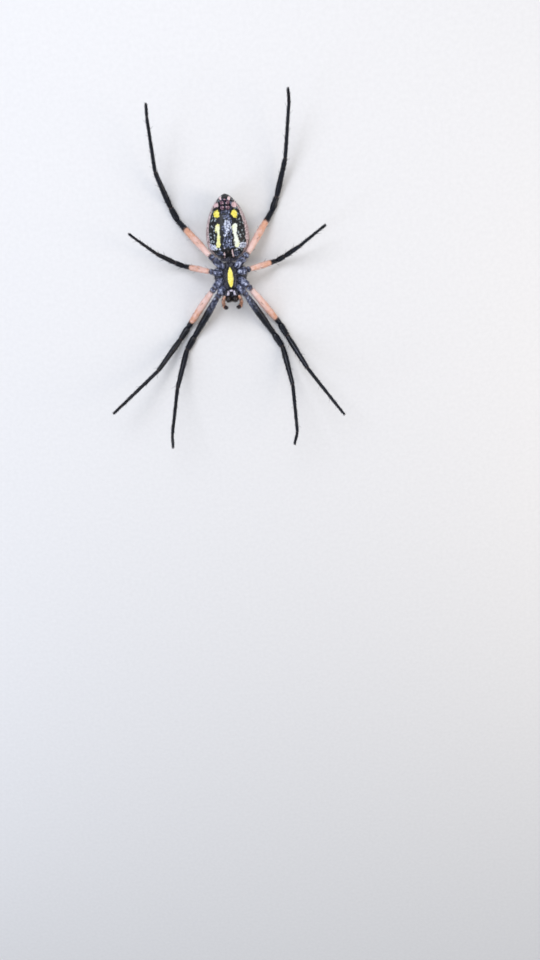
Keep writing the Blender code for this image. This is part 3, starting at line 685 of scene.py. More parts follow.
abdomenLow, abdomenHigh = boxOf("abdomen")[:2]
abdomenShape = {
    "front": abdomenLow[1], "back": abdomenHigh[1],
    "halfWidth": 4.3, "axisHeight": 3.7, "bellyRise": 3.4, "backDrop": 3.82,
    "widest": 0.37,  # share of the length from the front to the widest place
    "rows": 300, "columns": 320,
}
abdomenHair = {"count": 11000, "length": 0.24, "vary": 0.4, "width": 0.01, "rise": 28, "curl": 0.1}
waistFringe = {"count": 1600, "length": 0.62, "vary": 0.4, "width": 0.011, "rise": 60, "curl": 0.2}
bellyMarks = {
    # Places are x and y of the shared frame, on one side of the body where both sides are alike. A patch
    # is its middle and its two radii, and a stripe its ends along, its middle across at front and back,
    # and half its usual width.
    "stripe": {"front": -2.5, "back": 1.95, "across": (1.82, 1.62), "halfWidth": 0.4},
    "spots": ((1.8, 3.85), (0.52, 0.76)),
    "pinkPatches": (((1.8, 5.45), (0.62, 0.48)), ((0.95, 6.7), (0.3, 0.35)), ((0.88, -3.85), (0.13, 0.7))),
    "palePatches": (((2.85, -2.2), (0.85, 0.58)), ((1.55, -2.9), (0.35, 0.25)), ((0.1, 0.3), (0.3, 0.3)),
                    ((-0.45, -0.3), (0.26, 0.22)), ((0.2, 1.75), (0.6, 1.05))),
    "frontPatches": ((1.75, -3.7), (0.75, 0.6)),
    "lungCovers": ((1.75, -3.3), (1.0, 0.7)),
    "pits": ((0.55, 2.6), (0.6, 1.1), (0.62, -0.4), (0.6, -1.7)),
}
backMarks = {
    # the broken yellow bands: across at their middle along, half width, and where black crosses them
    "band": {"front": -3.3, "back": 5.6, "across": 2.55, "halfWidth": 0.95,
             "gaps": (-2.0, -0.35, 1.35, 2.95, 4.3)},
    "dots": ((0.72, -2.3), (0.86, -0.7), (0.8, 0.9), (0.62, 2.4), (0.44, 3.8), (0.3, 5.0)),
    "shoulder": ((1.75, -3.75), (1.35, 0.5)),
    "pits": ((0.75, -2.4), (0.95, -0.6), (0.9, 1.3), (0.7, 3.0)),
}
plateAlong = boxOf("epigyne")[2][1]
spinneretsAlong = (boxOf("spinneret_front_left")[0][1] + boxOf("spinneret_back_left")[1][1]) / 2


def abdomenForm(share, turn):
    # An egg whose width is sqrt(1 - (1 - s/w)^2.6) in front of its widest place w and (1 - t^1.8)^0.66
    # behind it, and whose depth is that width to the power 0.82; turn 0 is its right side and pi / 2 its
    # belly.
    look = abdomenShape
    widest = look["widest"]
    share = np.clip(share, 0.0, 1.0)
    ahead = np.sqrt(np.clip(1 - np.abs(1 - share / widest) ** 2.6, 0, 1))
    behind = np.clip(1 - np.clip((share - widest) / (1 - widest), 0, 1) ** 1.8, 0, 1) ** 0.66
    width = np.where(share < widest, ahead, behind)
    belly = np.sin(turn) > 0
    hump = 0.09 * np.exp(-((share - 0.13) / 0.09) ** 2 - ((np.abs(np.cos(turn)) - 0.72) / 0.22) ** 2)
    swell = np.where(belly, 1, 1 + hump)
    deep = np.where(belly, look["bellyRise"], look["backDrop"]) * width ** 0.82
    lift = 0.35 * share ** 3 - 0.55 * np.clip(1 - share / widest, 0, 1) ** 2
    x = look["halfWidth"] * width * swell * np.cos(turn)
    y = look["front"] + (look["back"] - look["front"]) * share
    return pointsOf(x, y, look["axisHeight"] + lift + deep * swell * np.sin(turn))


def ellipseField(x, y, middle, radii, turn=0.0):
    # about the distance in mm inside an ellipse, negative outside it
    c, s = np.cos(turn), np.sin(turn)
    dx, dy = x - middle[0], y - middle[1]
    u, v = (c * dx + s * dy) / radii[0], (-s * dx + c * dy) / radii[1]
    return (1 - np.sqrt(u * u + v * v)) * min(radii)


def abdomenRelief(points, belly):
    # Height of the skin's details over the plain egg: sunk dots, the furrow behind the dark plate, smooth
    # lung covers, a dished field with a low rim round the spinnerets, and faint pleats.
    x, y, z = np.moveaxis(points, -1, 0)
    side = np.abs(x)
    height = -belly * 0.1 * bell(y + 2.45 - 0.1 * x * x, 0.12) * bell(x, 2.6)
    for look, share, width in ((bellyMarks, belly, 0.13), (backMarks, 1 - belly, 0.16)):
        for across, place in look["pits"]:
            height -= share * 0.07 * bell(np.hypot(side - across, y - place), width)
    height += belly * 0.07 * smoothStep(-0.2, 0.25, ellipseField(side, y, *bellyMarks["lungCovers"], 0.5))
    fromSpinnerets = np.hypot(x, (y - spinneretsAlong) * 0.95)
    height -= belly * 0.34 * smoothStep(1.35, 1.0, fromSpinnerets)
    height += belly * 0.09 * bell(fromSpinnerets - 1.5, 0.2)
    height += belly * 0.1 * bell(np.hypot(x, y - plateAlong), 0.9)
    pleats = np.sin(9 * y + 2.2 * np.sin(1.7 * z)) * bell(z - 4.2, 1.6)
    return height + 0.012 * pleats * bell(y - 1.5, 5.0)


def abdomenSkin(share, turn):
    # the plain egg, moved along its own outward direction by the relief less the coat's depth, cut flat
    # at the floor
    form = abdomenForm(share, turn)
    outward = outwardOf(abdomenForm, share, turn)
    belly = smoothStep(-0.1, 0.25, np.sin(turn))
    points = form + outward * (abdomenRelief(form, belly) - coatDepth)[..., None]
    points[..., 2] = np.maximum(points[..., 2], 0.0)
    return points, outward


def wander(points, reach):
    # shifts a place by slow waves of up to reach mm, so that no mark is quite regular or the same on both
    # sides
    x, y = points[..., 0], points[..., 1]
    sideways = np.sin(1.9 * y + 1.3 * np.sin(1.1 * x)) + 0.6 * np.sin(3.7 * x - 2.3 * y)
    lengthwise = np.sin(1.6 * x + 1.1 * np.sin(1.4 * y)) + 0.6 * np.sin(3.1 * y + 2.7 * x)
    return x + reach * sideways / 1.6, y + reach * lengthwise / 1.6


def alongBand(look, y):
    # the share of the way along a band
    return np.clip((y - look["front"]) / (look["back"] - look["front"]), 0, 1)


def bandField(look, side, y, middle, half):
    # distance in mm inside a band with rounded ends: its half width less the distance to its middle line
    past = np.clip(np.maximum(look["front"] + half - y, y - look["back"] + half), 0, None)
    return half - np.hypot(side - middle, past)


def bellyFields(x, y):
    # x and y are a place on the belly after wandering; each field is a distance in mm, positive inside
    # the mark
    side = np.abs(x)
    look = bellyMarks["stripe"]
    share = alongBand(look, y)
    middle = look["across"][0] + (look["across"][1] - look["across"][0]) * share
    foot, head = bell(share - 0.08, 0.2), bell(share - 0.88, 0.2)
    widths = np.where(x > 0, 0.98 + 0.42 * foot + 0.22 * head, 0.82 + 0.1 * foot + 0.45 * head)
    cream = bandField(look, side, y, middle, look["halfWidth"] * widths)
    pink = [ellipseField(side, y, *patch) for patch in bellyMarks["pinkPatches"]]
    pale = [ellipseField(side if patch[0][0] > 1 else x, y, *patch, 0.4)
            for patch in bellyMarks["palePatches"]]  # those over 1 mm out are on both sides
    halfWidth = 1.0 - 0.1 * np.clip(y, -3, 5) + 0.16 * np.sin(2.3 * y + 1.2 * np.sin(2 * x))
    halfWidth = halfWidth + 0.7 * bell(y - 5.5, 0.9)
    median = np.minimum(halfWidth - np.abs(x - 0.16), np.minimum(y + 2.9, 6.5 - y))
    median = median - 0.36 + 0.44 * smoothStep(-1.5, 2.0, y)
    median = np.maximum(median, ellipseField(side, y, *bellyMarks["frontPatches"]) - 0.12)
    return {"cream": cream, "yellow": ellipseField(side, y, *bellyMarks["spots"], 0.2),
            "pink": np.max(pink, axis=0), "pale": np.max(pale, axis=0), "median": np.minimum(median, 0.35)}


def backFields(x, y):
    # the same on the back: a yellow band down each side, narrower behind and crossed by black, and small
    # dots
    side = np.abs(x)
    look = backMarks["band"]
    share = alongBand(look, y)
    middle = look["across"] * (1 - 0.52 * share ** 1.6)
    band = bandField(look, side, y, middle, look["halfWidth"] * (1 - 0.5 * share))
    outward = side - middle
    for index, gap in enumerate(look["gaps"]):
        whole = 1 - 0.5 * (index % 2) * smoothStep(0.3, -0.3, outward)  # every other gap fades out inwards
        band -= 0.75 * bell(y - gap - 0.28 * outward, 0.17) * whole
    dots = [0.24 - np.hypot(side - across, y - place) for across, place in backMarks["dots"]]
    nowhere = np.full(x.shape, -1.0)
    return {"cream": nowhere, "yellow": np.maximum(band, np.max(dots, axis=0)), "pink": nowhere,
            "pale": ellipseField(side, y, *backMarks["shoulder"], 0.5), "median": nowhere}


def abdomenMarks(points, turn):
    # The fields of the belly or the back, by side of the body, each a distance in mm, as the rim is. The
    # flank and the dark places are soft shares instead.
    x, y = wander(points, 0.13)
    across, along = points[..., 0], points[..., 1]
    belly = np.sin(turn) > 0.12
    above, below = bellyFields(x, y), backFields(x, y)
    marks = {key: np.where(belly, above[key], below[key]) for key in above}
    height = points[..., 2] - abdomenShape["axisHeight"]
    sideways = np.abs(np.cos(turn))
    marks["flank"] = np.where(belly, smoothStep(0.44, 0.56, sideways), 0.9 * smoothStep(0.78, 0.9, sideways))
    lowerEdge = 1.1 * (1 - ((y - 0.3) / 4.5) ** 2) - 0.35 + 0.25 * np.sin(2.4 * y)
    marks["rim"] = np.minimum(7 * (sideways - 0.87), height + lowerEdge) + 0.12
    marks["pink"] = np.minimum(marks["pink"], 0.5 * (height - 0.75 + 0.2 * np.sin(5 * x)))
    fromPits = [np.hypot(np.abs(across) - pit[0], along - pit[1]) for pit in bellyMarks["pits"]]
    dark = smoothStep(0.85, 0.5, np.hypot(across, (along - plateAlong) * 0.9))
    dark += 0.85 * bell(np.min(fromPits, axis=0), 0.17)
    dark += 0.9 * bell(x + 1.12, 0.16) * window((-2.0, -1.2), (4.2, 3.4), y)  # a line beside one stripe
    dark += 0.3 * smoothStep(1.5, 1.2, np.hypot(across, along - spinneretsAlong))
    marks["dark"] = np.where(belly, np.clip(dark, 0, 1), 0)
    return marks


def halfTurns(turn):
    # turns past pi as negative ones, as the back of the abdomen has them
    return np.where(turn > np.pi, turn - fullTurn, turn)


def makeAbdomen():
    # the skin and its two kinds of hair
    share, turn = gridOf(abdomenShape)
    turn = halfTurns(turn)
    grid = abdomenSkin(share, turn)[0]
    makeShell("abdomenSkin", grid, "abdomen", ["abdomen"], abdomenMarks(grid, turn))

    # short hairs all over, lying back towards the spinnerets, thinner on the bare field round them
    share, turn = scatter(abdomenForm, abdomenHair["count"], (0.002, -np.pi), (0.998, np.pi))
    roots, outward = abdomenSkin(share, turn)
    keep = (roots[:, 2] > 0.15) & (np.hypot(roots[:, 0], roots[:, 1] - spinneretsAlong) > 1.3)
    share, turn, roots, outward = share[keep], turn[keep], roots[keep], outward[keep]
    makeCoat("abdomenHair", roots, outward, np.array([0.0, 1.0, 0.0]), placesOf(share, turn), abdomenHair,
             "abdomen", abdomenMarks(roots, turn))

    # longer soft hairs on the blunt front, reaching forwards over the waist
    share, turn = scatter(abdomenForm, waistFringe["count"], (0.0004, -0.6), (0.022, np.pi + 0.6))
    turn = halfTurns(turn)
    roots, outward = abdomenSkin(share, turn)
    lean = unit(pointsOf(0.3 * roots[:, 0], -1, 0.2))
    places = placesOf(share, turn)
    makeCoat("waistFringe", roots, outward, lean, places, waistFringe, "greyHair")


makeAbdomen()
print("abdomen made")


# Carapace: the shield over the head and thorax, hanging below the flat side that the legs grow from.

carapaceLow, carapaceHigh = boxOf("carapace")[:2]
carapaceMiddle = carapaceLow[1] + 5.1  # the widest place of the thorax
carapaceShape = {
    "headHalfWidth": 1.7, "powers": (2.3, 2.2), "rim": 0.2,
    "seatRise": 0.75,  # how far the soft side bulges up between the legs
    "waist": 0.42,  # share of the way forward where the head starts
    "faceLength": 1.3,
    "rows": 200, "columns": 200,
}
carapaceHair = {"count": 11000, "length": 0.3, "vary": 0.35, "width": 0.011, "rise": 20, "curl": 0.1}
faceHair = {"count": 900, "length": 0.17, "vary": 0.4, "width": 0.009, "rise": 28, "curl": 0.1}
seatHair = {"count": 2200, "length": 0.34, "vary": 0.4, "width": 0.01, "rise": 40, "curl": 0.1}
fringeHair = {"count": 2400, "length": 0.5, "vary": 0.4, "width": 0.011, "rise": 30, "curl": 0.15}
eyeNodes = [f"eye_{name}_{side}" for name in ("front_middle", "back_middle", "front_side", "back_side")
            for side in sideSigns]
eyePlaces = np.array([boxOf(node)[2] for node in eyeNodes])


def carapaceForm(share, turn):
    # Upright sections like |x/w|^2.3 + |z/d|^2.2 = 1 hung from a flat side. Half width w is round over
    # the thorax and steps down to the head; depth d is a long arch that drops to the face as a quarter
    # circle.
    look = carapaceShape
    share = np.clip(share, 0, 1)
    y = carapaceLow[1] + (carapaceHigh[1] - carapaceLow[1]) * share
    behind = np.clip((y - carapaceMiddle) / (carapaceHigh[1] - carapaceMiddle), 0, 1)
    ahead = np.clip((carapaceMiddle - y) / (carapaceMiddle - carapaceLow[1]), 0, 1)
    face = np.clip((carapaceLow[1] + look["faceLength"] - y) / look["faceLength"], 0, 1)
    thorax = carapaceHigh[0]
    neck = 1 / (1 + np.exp((ahead - look["waist"]) / 0.1))
    head = look["headHalfWidth"] + (thorax - look["headHalfWidth"]) * neck
    wide = np.where(behind > 0, thorax * np.sqrt(1 - behind ** 2.4), head * (1 - 0.45 * face ** 3))
    deepest = carapaceHigh[2] - carapaceLow[2]
    fall = y - carapaceMiddle + 0.35  # the arch falls behind this place, just in front of the middle
    back = np.sqrt(1 - np.clip(fall / (carapaceHigh[1] - carapaceMiddle + 0.35), 0, 1) ** 2.6)
    front = (1 - 0.11 * bell(y - carapaceMiddle + 1.65, 0.9)) * np.sqrt(1 - 0.97 * face ** 2.2)
    deep = look["rim"] + (deepest - look["rim"]) * back * front
    c, s = np.cos(turn), np.sin(turn)
    x = wide * np.sign(c) * np.abs(c) ** (2 / look["powers"][0])
    down = look["rim"] + (deep - look["rim"]) * np.abs(s) ** (2 / look["powers"][1])
    lift = look["seatRise"] * (1 - (np.abs(x) / (wide + 0.01)) ** 3) * np.sqrt(back * front)
    return pointsOf(x, y, carapaceHigh[2] + np.where(s < 0, -down * smoothStep(0, 0.12, np.abs(s)), lift))


def fromEyes(points):
    # distance to the middle of the nearest eye
    return np.linalg.norm(points[..., None, :] - eyePlaces, axis=-1).min(axis=-1)


def carapaceRelief(points):
    # grooves of the shield: a V between head and thorax, a pit at its middle, faint rays, and a ring at
    # each eye
    x, y = np.abs(points[..., 0]), points[..., 1]
    pit = carapaceMiddle + 0.2
    height = -0.16 * bell(np.hypot(x, (y - pit) * 0.6), 0.3)
    height -= 0.09 * bell(x - 0.1 - 0.62 * (pit - y), 0.16) * window((0.1, 0.8), (3.4, 2.4), pit - y)
    angle = np.arctan2(y - pit, x + 1e-6)
    away = np.hypot(x, y - pit)
    for ray in (-0.35, 0.2, 0.75):
        height -= 0.05 * bell(angle - ray, 0.09) * window((0.5, 1.2), (3.2, 2.2), away)
    return height + 0.06 * bell(fromEyes(points) - 0.22, 0.08)


def carapaceSkin(share, turn):
    # the plain shield moved along its outward direction by its relief less the coat's depth
    form = carapaceForm(share, turn)
    outward = outwardOf(carapaceForm, share, turn)
    back = smoothStep(0.05, -0.15, np.sin(turn))
    bearing = np.arctan2(form[..., 1] - carapaceMiddle, form[..., 0])
    folds = 0.07 * np.sin(14 * bearing + 2 * np.sin(3 * form[..., 1])) * smoothStep(0.1, 0.4, np.sin(turn))
    return form + outward * (carapaceRelief(form) * back + folds - coatDepth)[..., None], outward


def makeCarapace():
    # the shield and its four kinds of hair
    front = carapaceLow[1]
    share, turn = gridOf(carapaceShape, 0.5)
    grid = carapaceSkin(share, turn)[0]
    nearEye = np.exp(-(fromEyes(grid) / 0.36) ** 4)
    seat = smoothStep(-0.25, -0.05, np.sin(turn)) * smoothStep(front + 0.1, front + 0.5, grid[..., 1])
    dark = 0.6 * seat + 0.55 * nearEye - 1.2 * carapaceRelief(grid) - 0.3
    makeShell("carapaceSkin", grid, "carapace", ["carapace"], {"dark": dark})

    share, turn = scatter(carapaceForm, carapaceHair["count"], (0.002, -np.pi), (0.99, 0))
    roots, outward = carapaceSkin(share, turn)
    clear = fromEyes(roots) > 0.27
    share, turn, roots, outward = share[clear], turn[clear], roots[clear], outward[clear]
    face = smoothStep(front + 0.8, front + 0.1, roots[:, 1])
    lean = unit(pointsOf(-0.5 * roots[:, 0], face - 1, face))
    places = placesOf(share, turn, span=np.pi)
    makeCoat("carapaceHair", roots, outward, lean, places, carapaceHair, "paleHair")

    # the face between the eyes and the jaws: the flat end of the shield, inside its first ring
    count = faceHair["count"]
    share, turn = np.sqrt(dice.uniform(0, 1, count)), dice.uniform(-np.pi, np.pi, count)
    edge, outward = carapaceSkin(0 * turn + 0.0002, turn)
    middle = edge.mean(axis=0)
    roots = middle + (edge - middle) * share[:, None]
    outward = unit(outward * share[:, None] + np.array([0, -0.8, 0]))
    lean = unit(pointsOf(-0.3 * roots[:, 0], 0, 1))
    places = placesOf(share * 0.05, turn)
    makeCoat("faceHair", roots, outward, lean, places, faceHair, "paleHair")

    # the soft side between the legs, and a fringe round its edge that is longest over the waist
    share, turn = scatter(carapaceForm, seatHair["count"], (0.01, 0.03), (0.99, np.pi - 0.03))
    roots, outward = carapaceSkin(share, turn)
    lean = unit(pointsOf(roots[:, 0], 0.4 * (roots[:, 1] - carapaceMiddle), 0))
    places = placesOf(share, turn, 0, np.pi)
    makeCoat("seatHair", roots, outward, lean, places, seatHair, "greyHair")
    count = fringeHair["count"]
    share = 1 - (1 - 0.12) * dice.uniform(0, 1, count) ** 1.5
    turn = np.where(dice.uniform(0, 1, count) < 0.5, 0, np.pi) + dice.normal(0, 0.16, count)
    share, turn = np.clip(share, 0.12, 0.985), halfTurns(turn)
    roots, outward = carapaceSkin(share, turn)
    lean = unit(pointsOf(0.6 * roots[:, 0], np.clip(roots[:, 1] - carapaceMiddle, -0.5, None), 0.5))
    places = placesOf(share, turn)
    makeCoat("carapaceFringe", roots, outward, lean, places, fringeHair, "paleHair")


eyeLook = {"rows": 28, "columns": 36, "dome": 0.06}


def makeEyes():
    # each lens is a ball whose front is a little domed: radius r (1 + 0.06 cos^4) towards where it looks
    fall = np.linspace(0.02, 0.98, eyeLook["rows"])[:, None] * np.pi
    turn = evenTurns(eyeLook["columns"])
    dome = 1 + eyeLook["dome"] * np.clip(-np.sin(fall) * np.sin(turn), 0, 1) ** 4
    ball = pointsOf(np.sin(fall) * np.cos(turn), np.sin(fall) * np.sin(turn), np.cos(fall))
    for node in eyeNodes:
        _, _, middle, half = boxOf(node)
        makeShell(f"{node}_lens", half.max() * dome[..., None] * ball + middle, "eye", [node])


makeCarapace()
makeEyes()
print("carapace and eyes made")


# Sternum: the heart-shaped breastplate between the legs, with its yellow spindle.

sternumLow, sternumHigh = boxOf("sternum")[:2]
sternumLook = {
    "rows": 130, "columns": 120,
    "markHalfWidth": 0.62,  # of the spindle
    "markFront": 0.03, "markBack": 0.97,  # its ends, as shares of the plate's length
    "bumps": ((0.24, 0.78), (0.5, 0.72), (0.74, 0.6)),  # share of the length, share of the half width
    "points": (0.16, 0.37, 0.62),  # shares of the length where the edge points out between two legs
}
sternumHair = {"count": 900, "length": 0.3, "vary": 0.4, "width": 0.01, "rise": 34, "curl": 0.1}


def sternumForm(share, turn):
    # Half width (1 - s^2)^0.8, pinched in front; upright sections |x/w|^3.3 + |z/d|^3.6 = 1, their top
    # 0.3 mm lower at both ends of the plate, and low bumps opposite the legs.
    share = np.clip(share, 0.002, 0.998)
    half = sternumHigh[0] * 1.02 * (1 - share ** 2) ** 0.8 * (1 - 0.42 * np.clip(1 - share / 0.32, 0, 1) ** 2)
    half = half * (1 - np.clip(1 - share / 0.06, 0, 1) ** 3)
    half = half * (0.97 + 0.08 * sum(bell(share - place, 0.05) for place in sternumLook["points"]))
    y = sternumLow[1] + (sternumHigh[1] - sternumLow[1]) * share
    c, s = np.cos(turn), np.sin(turn)
    x = half * np.sign(c) * np.abs(c) ** 0.6
    crown = sternumHigh[2] - 0.3 * (2 * share - 1) ** 2 - sternumLow[2]
    z = sternumLow[2] + 0.5 * crown + 0.5 * crown * np.sign(s) * np.abs(s) ** 0.55
    side = np.abs(x) / np.maximum(half, 0.05)
    for place, across in sternumLook["bumps"]:
        z += 0.1 * bell(share - place, 0.07) * bell(side - across, 0.2) * (s > 0)
    z -= 0.05 * bell(side - 0.93, 0.07) * (s > 0)
    return pointsOf(x, y, z)


def sternumMark(points, share):
    # distance in mm inside the spindle: half width (4u(1-u))^0.7, u the share of the way along it
    look = sternumLook
    u = np.clip((share - look["markFront"]) / (look["markBack"] - look["markFront"]), 0, 1)
    return look["markHalfWidth"] * (4 * u * (1 - u)) ** 0.7 * (1 - 0.25 * u) - np.abs(points[..., 0] - 0.06)


def makeSternum():
    share, turn = gridOf(sternumLook, 0.5)
    grid = sternumForm(share, turn)
    grid[..., 2] -= coatDepth * 0.5
    stripe = np.where(np.sin(turn) > 0.2, sternumMark(grid, share), -1)
    makeShell("sternumShell", grid, "sternum", ["sternum"], {"stripe": stripe})

    share, turn = scatter(sternumForm, sternumHair["count"], (0.03, 0.08 * np.pi), (0.96, 0.92 * np.pi))
    roots, outward = sternumForm(share, turn), outwardOf(sternumForm, share, turn)
    clear = np.abs(roots[:, 0]) > 0.5
    places = placesOf(share, turn, 0, np.pi)[clear]
    makeCoat("sternumHair", roots[clear], outward[clear], np.array([0.0, -1.0, 0.0]), places, sternumHair,
             "greyHair")


makeSternum()
print("sternum made")


# Small parts of the body are tubes with rounded ends, along short paths inside their solids.

def roundEnds(share, near, far):
    # 1 along the middle, falling to 0 at both ends as a quarter circle over the shares near and far
    start = np.sqrt(np.clip(1 - (1 - np.clip(share / near, 0, 1)) ** 2, 0, 1))
    return start * np.sqrt(np.clip(1 - (1 - np.clip((1 - share) / far, 0, 1)) ** 2, 0, 1))


def polePath(node, count, sunk=0.0):
    # A straight path up through an upright solid, from the middle of its foot to the middle of its top.
    # Sunk draws its foot on downwards by a share of its length.
    points = nodeMesh(node)[0]
    low, high = points[:, 2].min(), points[:, 2].max()
    foot = points[points[:, 2] < low + 0.02].mean(axis=0)
    top = points[points[:, 2] > high - 0.02].mean(axis=0)
    share = poleShares(count)
    line = foot + (top - foot) * share[:, None]
    return share, line - (line[-1] - line[0]) * (sunk * (1 - share))[:, None]


def curvePath(stops, count):
    # a smooth path through a few points: a parabola through each three, blended by share (Catmull-Rom)
    stops = np.array(stops, dtype=float)
    padded = np.concatenate([2 * stops[:1] - stops[1:2], stops, 2 * stops[-1:] - stops[-2:-1]])
    place = poleShares(count) * (len(stops) - 1)
    index = np.minimum(place.astype(int), len(stops) - 2)
    t = (place - index)[:, None]
    a, b, c, d = (padded[index + shift] for shift in range(4))
    line = 2 * b + (c - a) * t + (2 * a - 5 * b + 4 * c - d) * t ** 2 + (3 * b - a - 3 * c + d) * t ** 3
    return place / (len(stops) - 1), 0.5 * line


def uprightPart(node, rows, columns, width, depth, square=2.0, far=0.3):
    # An upright rounded block: its rings follow the solid's own lean. Each is |u|^p + |v|^p = 1 with p =
    # square, and its size falls to the top as a quarter circle over the share far.
    share, line = polePath(node, rows)
    girth = roundEnds(share, 0.1, far)
    turns = evenTurns(columns)
    corner = (np.abs(np.cos(turns)) ** square + np.abs(np.sin(turns)) ** square) ** (-1 / square)
    wide, deep = (width - coatDepth) * girth, (depth - coatDepth) * girth
    return tubeGrid(line, wide, deep, columns, corner - 1, (0, 1, 0)), share


def addGrowth(name, grid, share, look, material, lean=None, marks=None):
    # Hairs over a small part, or over the rings of it that its look names: their roots are places between
    # its grid's points, chosen at random, and they point as its rings do, leaning along it unless lean
    # says otherwise.
    rings = slice(*look.get("rings", (0, None)))
    grid, share = grid[rings], share[rings]
    rows, columns = grid.shape[:2]
    count = look["count"]
    row, column = dice.uniform(0.04, 0.98, count), dice.uniform(0, 1, count)
    reach = share[0] + (share[-1] - share[0]) * row
    i = np.clip(np.searchsorted(share, reach) - 1, 0, rows - 2)
    j = (column * columns).astype(int) % columns
    after = (j + 1) % columns
    weights = dice.uniform(0, 1, (2, count, 1))
    near, far = (grid[k, j] * (1 - weights[0]) + grid[k, after] * weights[0] for k in (i, i + 1))
    roots = near * (1 - weights[1]) + far * weights[1]
    outward = unit(roots - grid[i].mean(axis=1))
    rootMarks = {key: np.broadcast_to(values, grid.shape[:2])[i, j] for key, values in (marks or {}).items()}
    lean = unit(far - near) if lean is None else np.array(lean)
    makeCoat(name, roots, outward, lean, np.stack([row, column], axis=1), look, material, rootMarks)


# Mouth: lip, jaw plates, jaws with folded fangs, and the two feelers.

mouthLook = {
    "columns": 64, "square": 3.0, "top": 0.16,  # of the lip and the jaw plates
    "maxillaHair": {"count": 240, "length": 0.2, "vary": 0.3, "width": 0.009, "rise": 40, "curl": 0.2,
                    "rings": (35, None)},
    "jaw": {"rows": 90, "columns": 72, "sunk": 0.16},  # sunk: its foot goes on behind the face's edge
    "jawHair": {"count": 420, "length": 0.26, "vary": 0.4, "width": 0.009, "rise": 28, "curl": 0.1},
    # the circle that a fang's axis follows, seen from the front, its angles in degrees, and half its width
    "fang": {"across": 0.43, "height": 6.14, "radii": (0.5, 0.4), "from": 35, "over": 85, "girth": 0.17},
    "palp": {
        "columns": 40, "rows": 150, "joints": (0.2, 0.5, 0.64), "darkFrom": 0.72,
        # shares of its solid's box: outwards, forwards and up
        "path": ((0.42, 0.03, 0.4), (0.76, 0.36, 0.16), (0.76, 0.62, 0.18), (0.57, 0.83, 0.46),
                 (0.2, 0.88, 1.0)),
        "girth": ((0, 0.2, 0.45, 0.6, 0.8, 0.93, 1), (0.27, 0.33, 0.29, 0.33, 0.37, 0.33, 0.27)),
    },
    "palpHair": {"count": 1100, "length": 0.32, "vary": 0.4, "width": 0.01, "rise": 32, "curl": 0.1},
    "palpSpine": {"count": 20, "length": 0.65, "vary": 0.2, "width": 0.02, "rise": 45, "curl": 0.05,
                  "rings": (20, None)},
}


def mouthPlate(node, rows, slimmer=1.0):
    # the rounded block of the lip or a jaw plate, with the share of the way up and the box of its solid
    look = mouthLook
    _, _, middle, half = boxOf(node)
    wide, deep = half[0] * slimmer, half[1]
    grid, share = uprightPart(node, rows, look["columns"], wide, deep, look["square"], look["top"])
    return grid, share, middle, half


def makeLip():
    grid, share, middle, half = mouthPlate("lip", 60)
    front = middle[1] - half[1]
    pale = smoothStep(front + 1.5 * half[1], front + 0.5 * half[1], grid[..., 1])
    marks = {"tip": pale * smoothStep(0.45, 0.8, share)[:, None] * 0.4 - 0.12}
    makeShell("lipShell", grid, "mouth", ["lip"], marks)


def makeMaxilla(side, sign):
    # a jaw plate with its inner top rolled down, a groove across it, a pale inner edge and a brush
    node = f"maxilla_{side}"
    grid, share, middle, half = mouthPlate(node, 70, 0.98)
    rise = share[:, None]
    inward = sign * (grid[..., 0] - middle[0]) / half[0]
    ahead = (grid[..., 1] - middle[1]) / half[1]
    grid[..., 2] -= 0.16 * smoothStep(0.1, 1.0, inward) * smoothStep(0.5, 1, rise)
    grid[..., 2] -= 0.1 * bell(inward - 0.2 - 0.3 * ahead, 0.18) * smoothStep(0.8, 1, rise)
    marks = {"tip": smoothStep(0.4, -0.6, inward + 0.4 * ahead) * smoothStep(0.5, 0.8, rise) * 0.4 - 0.2}
    makeShell(f"{node}_shell", grid, "mouth", [node], marks)
    lean = (-sign * 0.5, -0.6, 0.4)
    addGrowth(f"{node}_brush", grid, share, mouthLook["maxillaHair"], "greyHair", lean)


def makeJaw(side, sign):
    # a stout barrel, fullest a third of the way up, with a groove down its inner side near the top
    look = mouthLook["jaw"]
    node = f"chelicera_{side}"
    half = boxOf(node)[3] - coatDepth
    share, line = polePath(node, look["rows"], look["sunk"])
    girth = roundEnds(share, 0.3, 0.26)
    rise = share[:, None]
    inward = np.cos(evenTurns(look["columns"]) - (np.pi if sign < 0 else 0.0))
    swell = 0.04 * bell(rise - 0.3, 0.25) - 0.14 * smoothStep(0.5, 1.0, rise)
    groove = -0.22 * bell(inward - 1, 0.35) * smoothStep(0.7, 0.88, rise)
    grid = tubeGrid(line, half[0] * girth, half[1] * girth, look["columns"], swell + groove, (0, 1, 0))
    makeShell(f"{node}_shell", grid, "jaw", [node])
    addGrowth(f"{node}_hair", grid, share, mouthLook["jawHair"], "darkHair", (0, -0.2, 1.0))


def makeFang(side, sign):
    # a horn along an arc of a circle, from the jaw's outer edge to the middle, its radius falling as 1 -
    # 0.9 s^1.4
    look = mouthLook["fang"]
    node = f"fang_{side}"
    share = np.linspace(0, 1, 40)
    turn = np.radians(look["from"] + look["over"] * share)
    x = sign * look["across"] + sign * look["radii"][0] * np.cos(turn)
    z = look["height"] + look["radii"][1] * np.sin(turn)
    line = pointsOf(x, boxOf(node)[2][1], z)
    girth = look["girth"] * (1 - 0.9 * share ** 1.4) * roundEnds(share, 0.1, 0.03)
    makeShell(f"{node}_horn", tubeGrid(line, girth, girth, 28, top=(0, 1, 0)), "fang", [node])


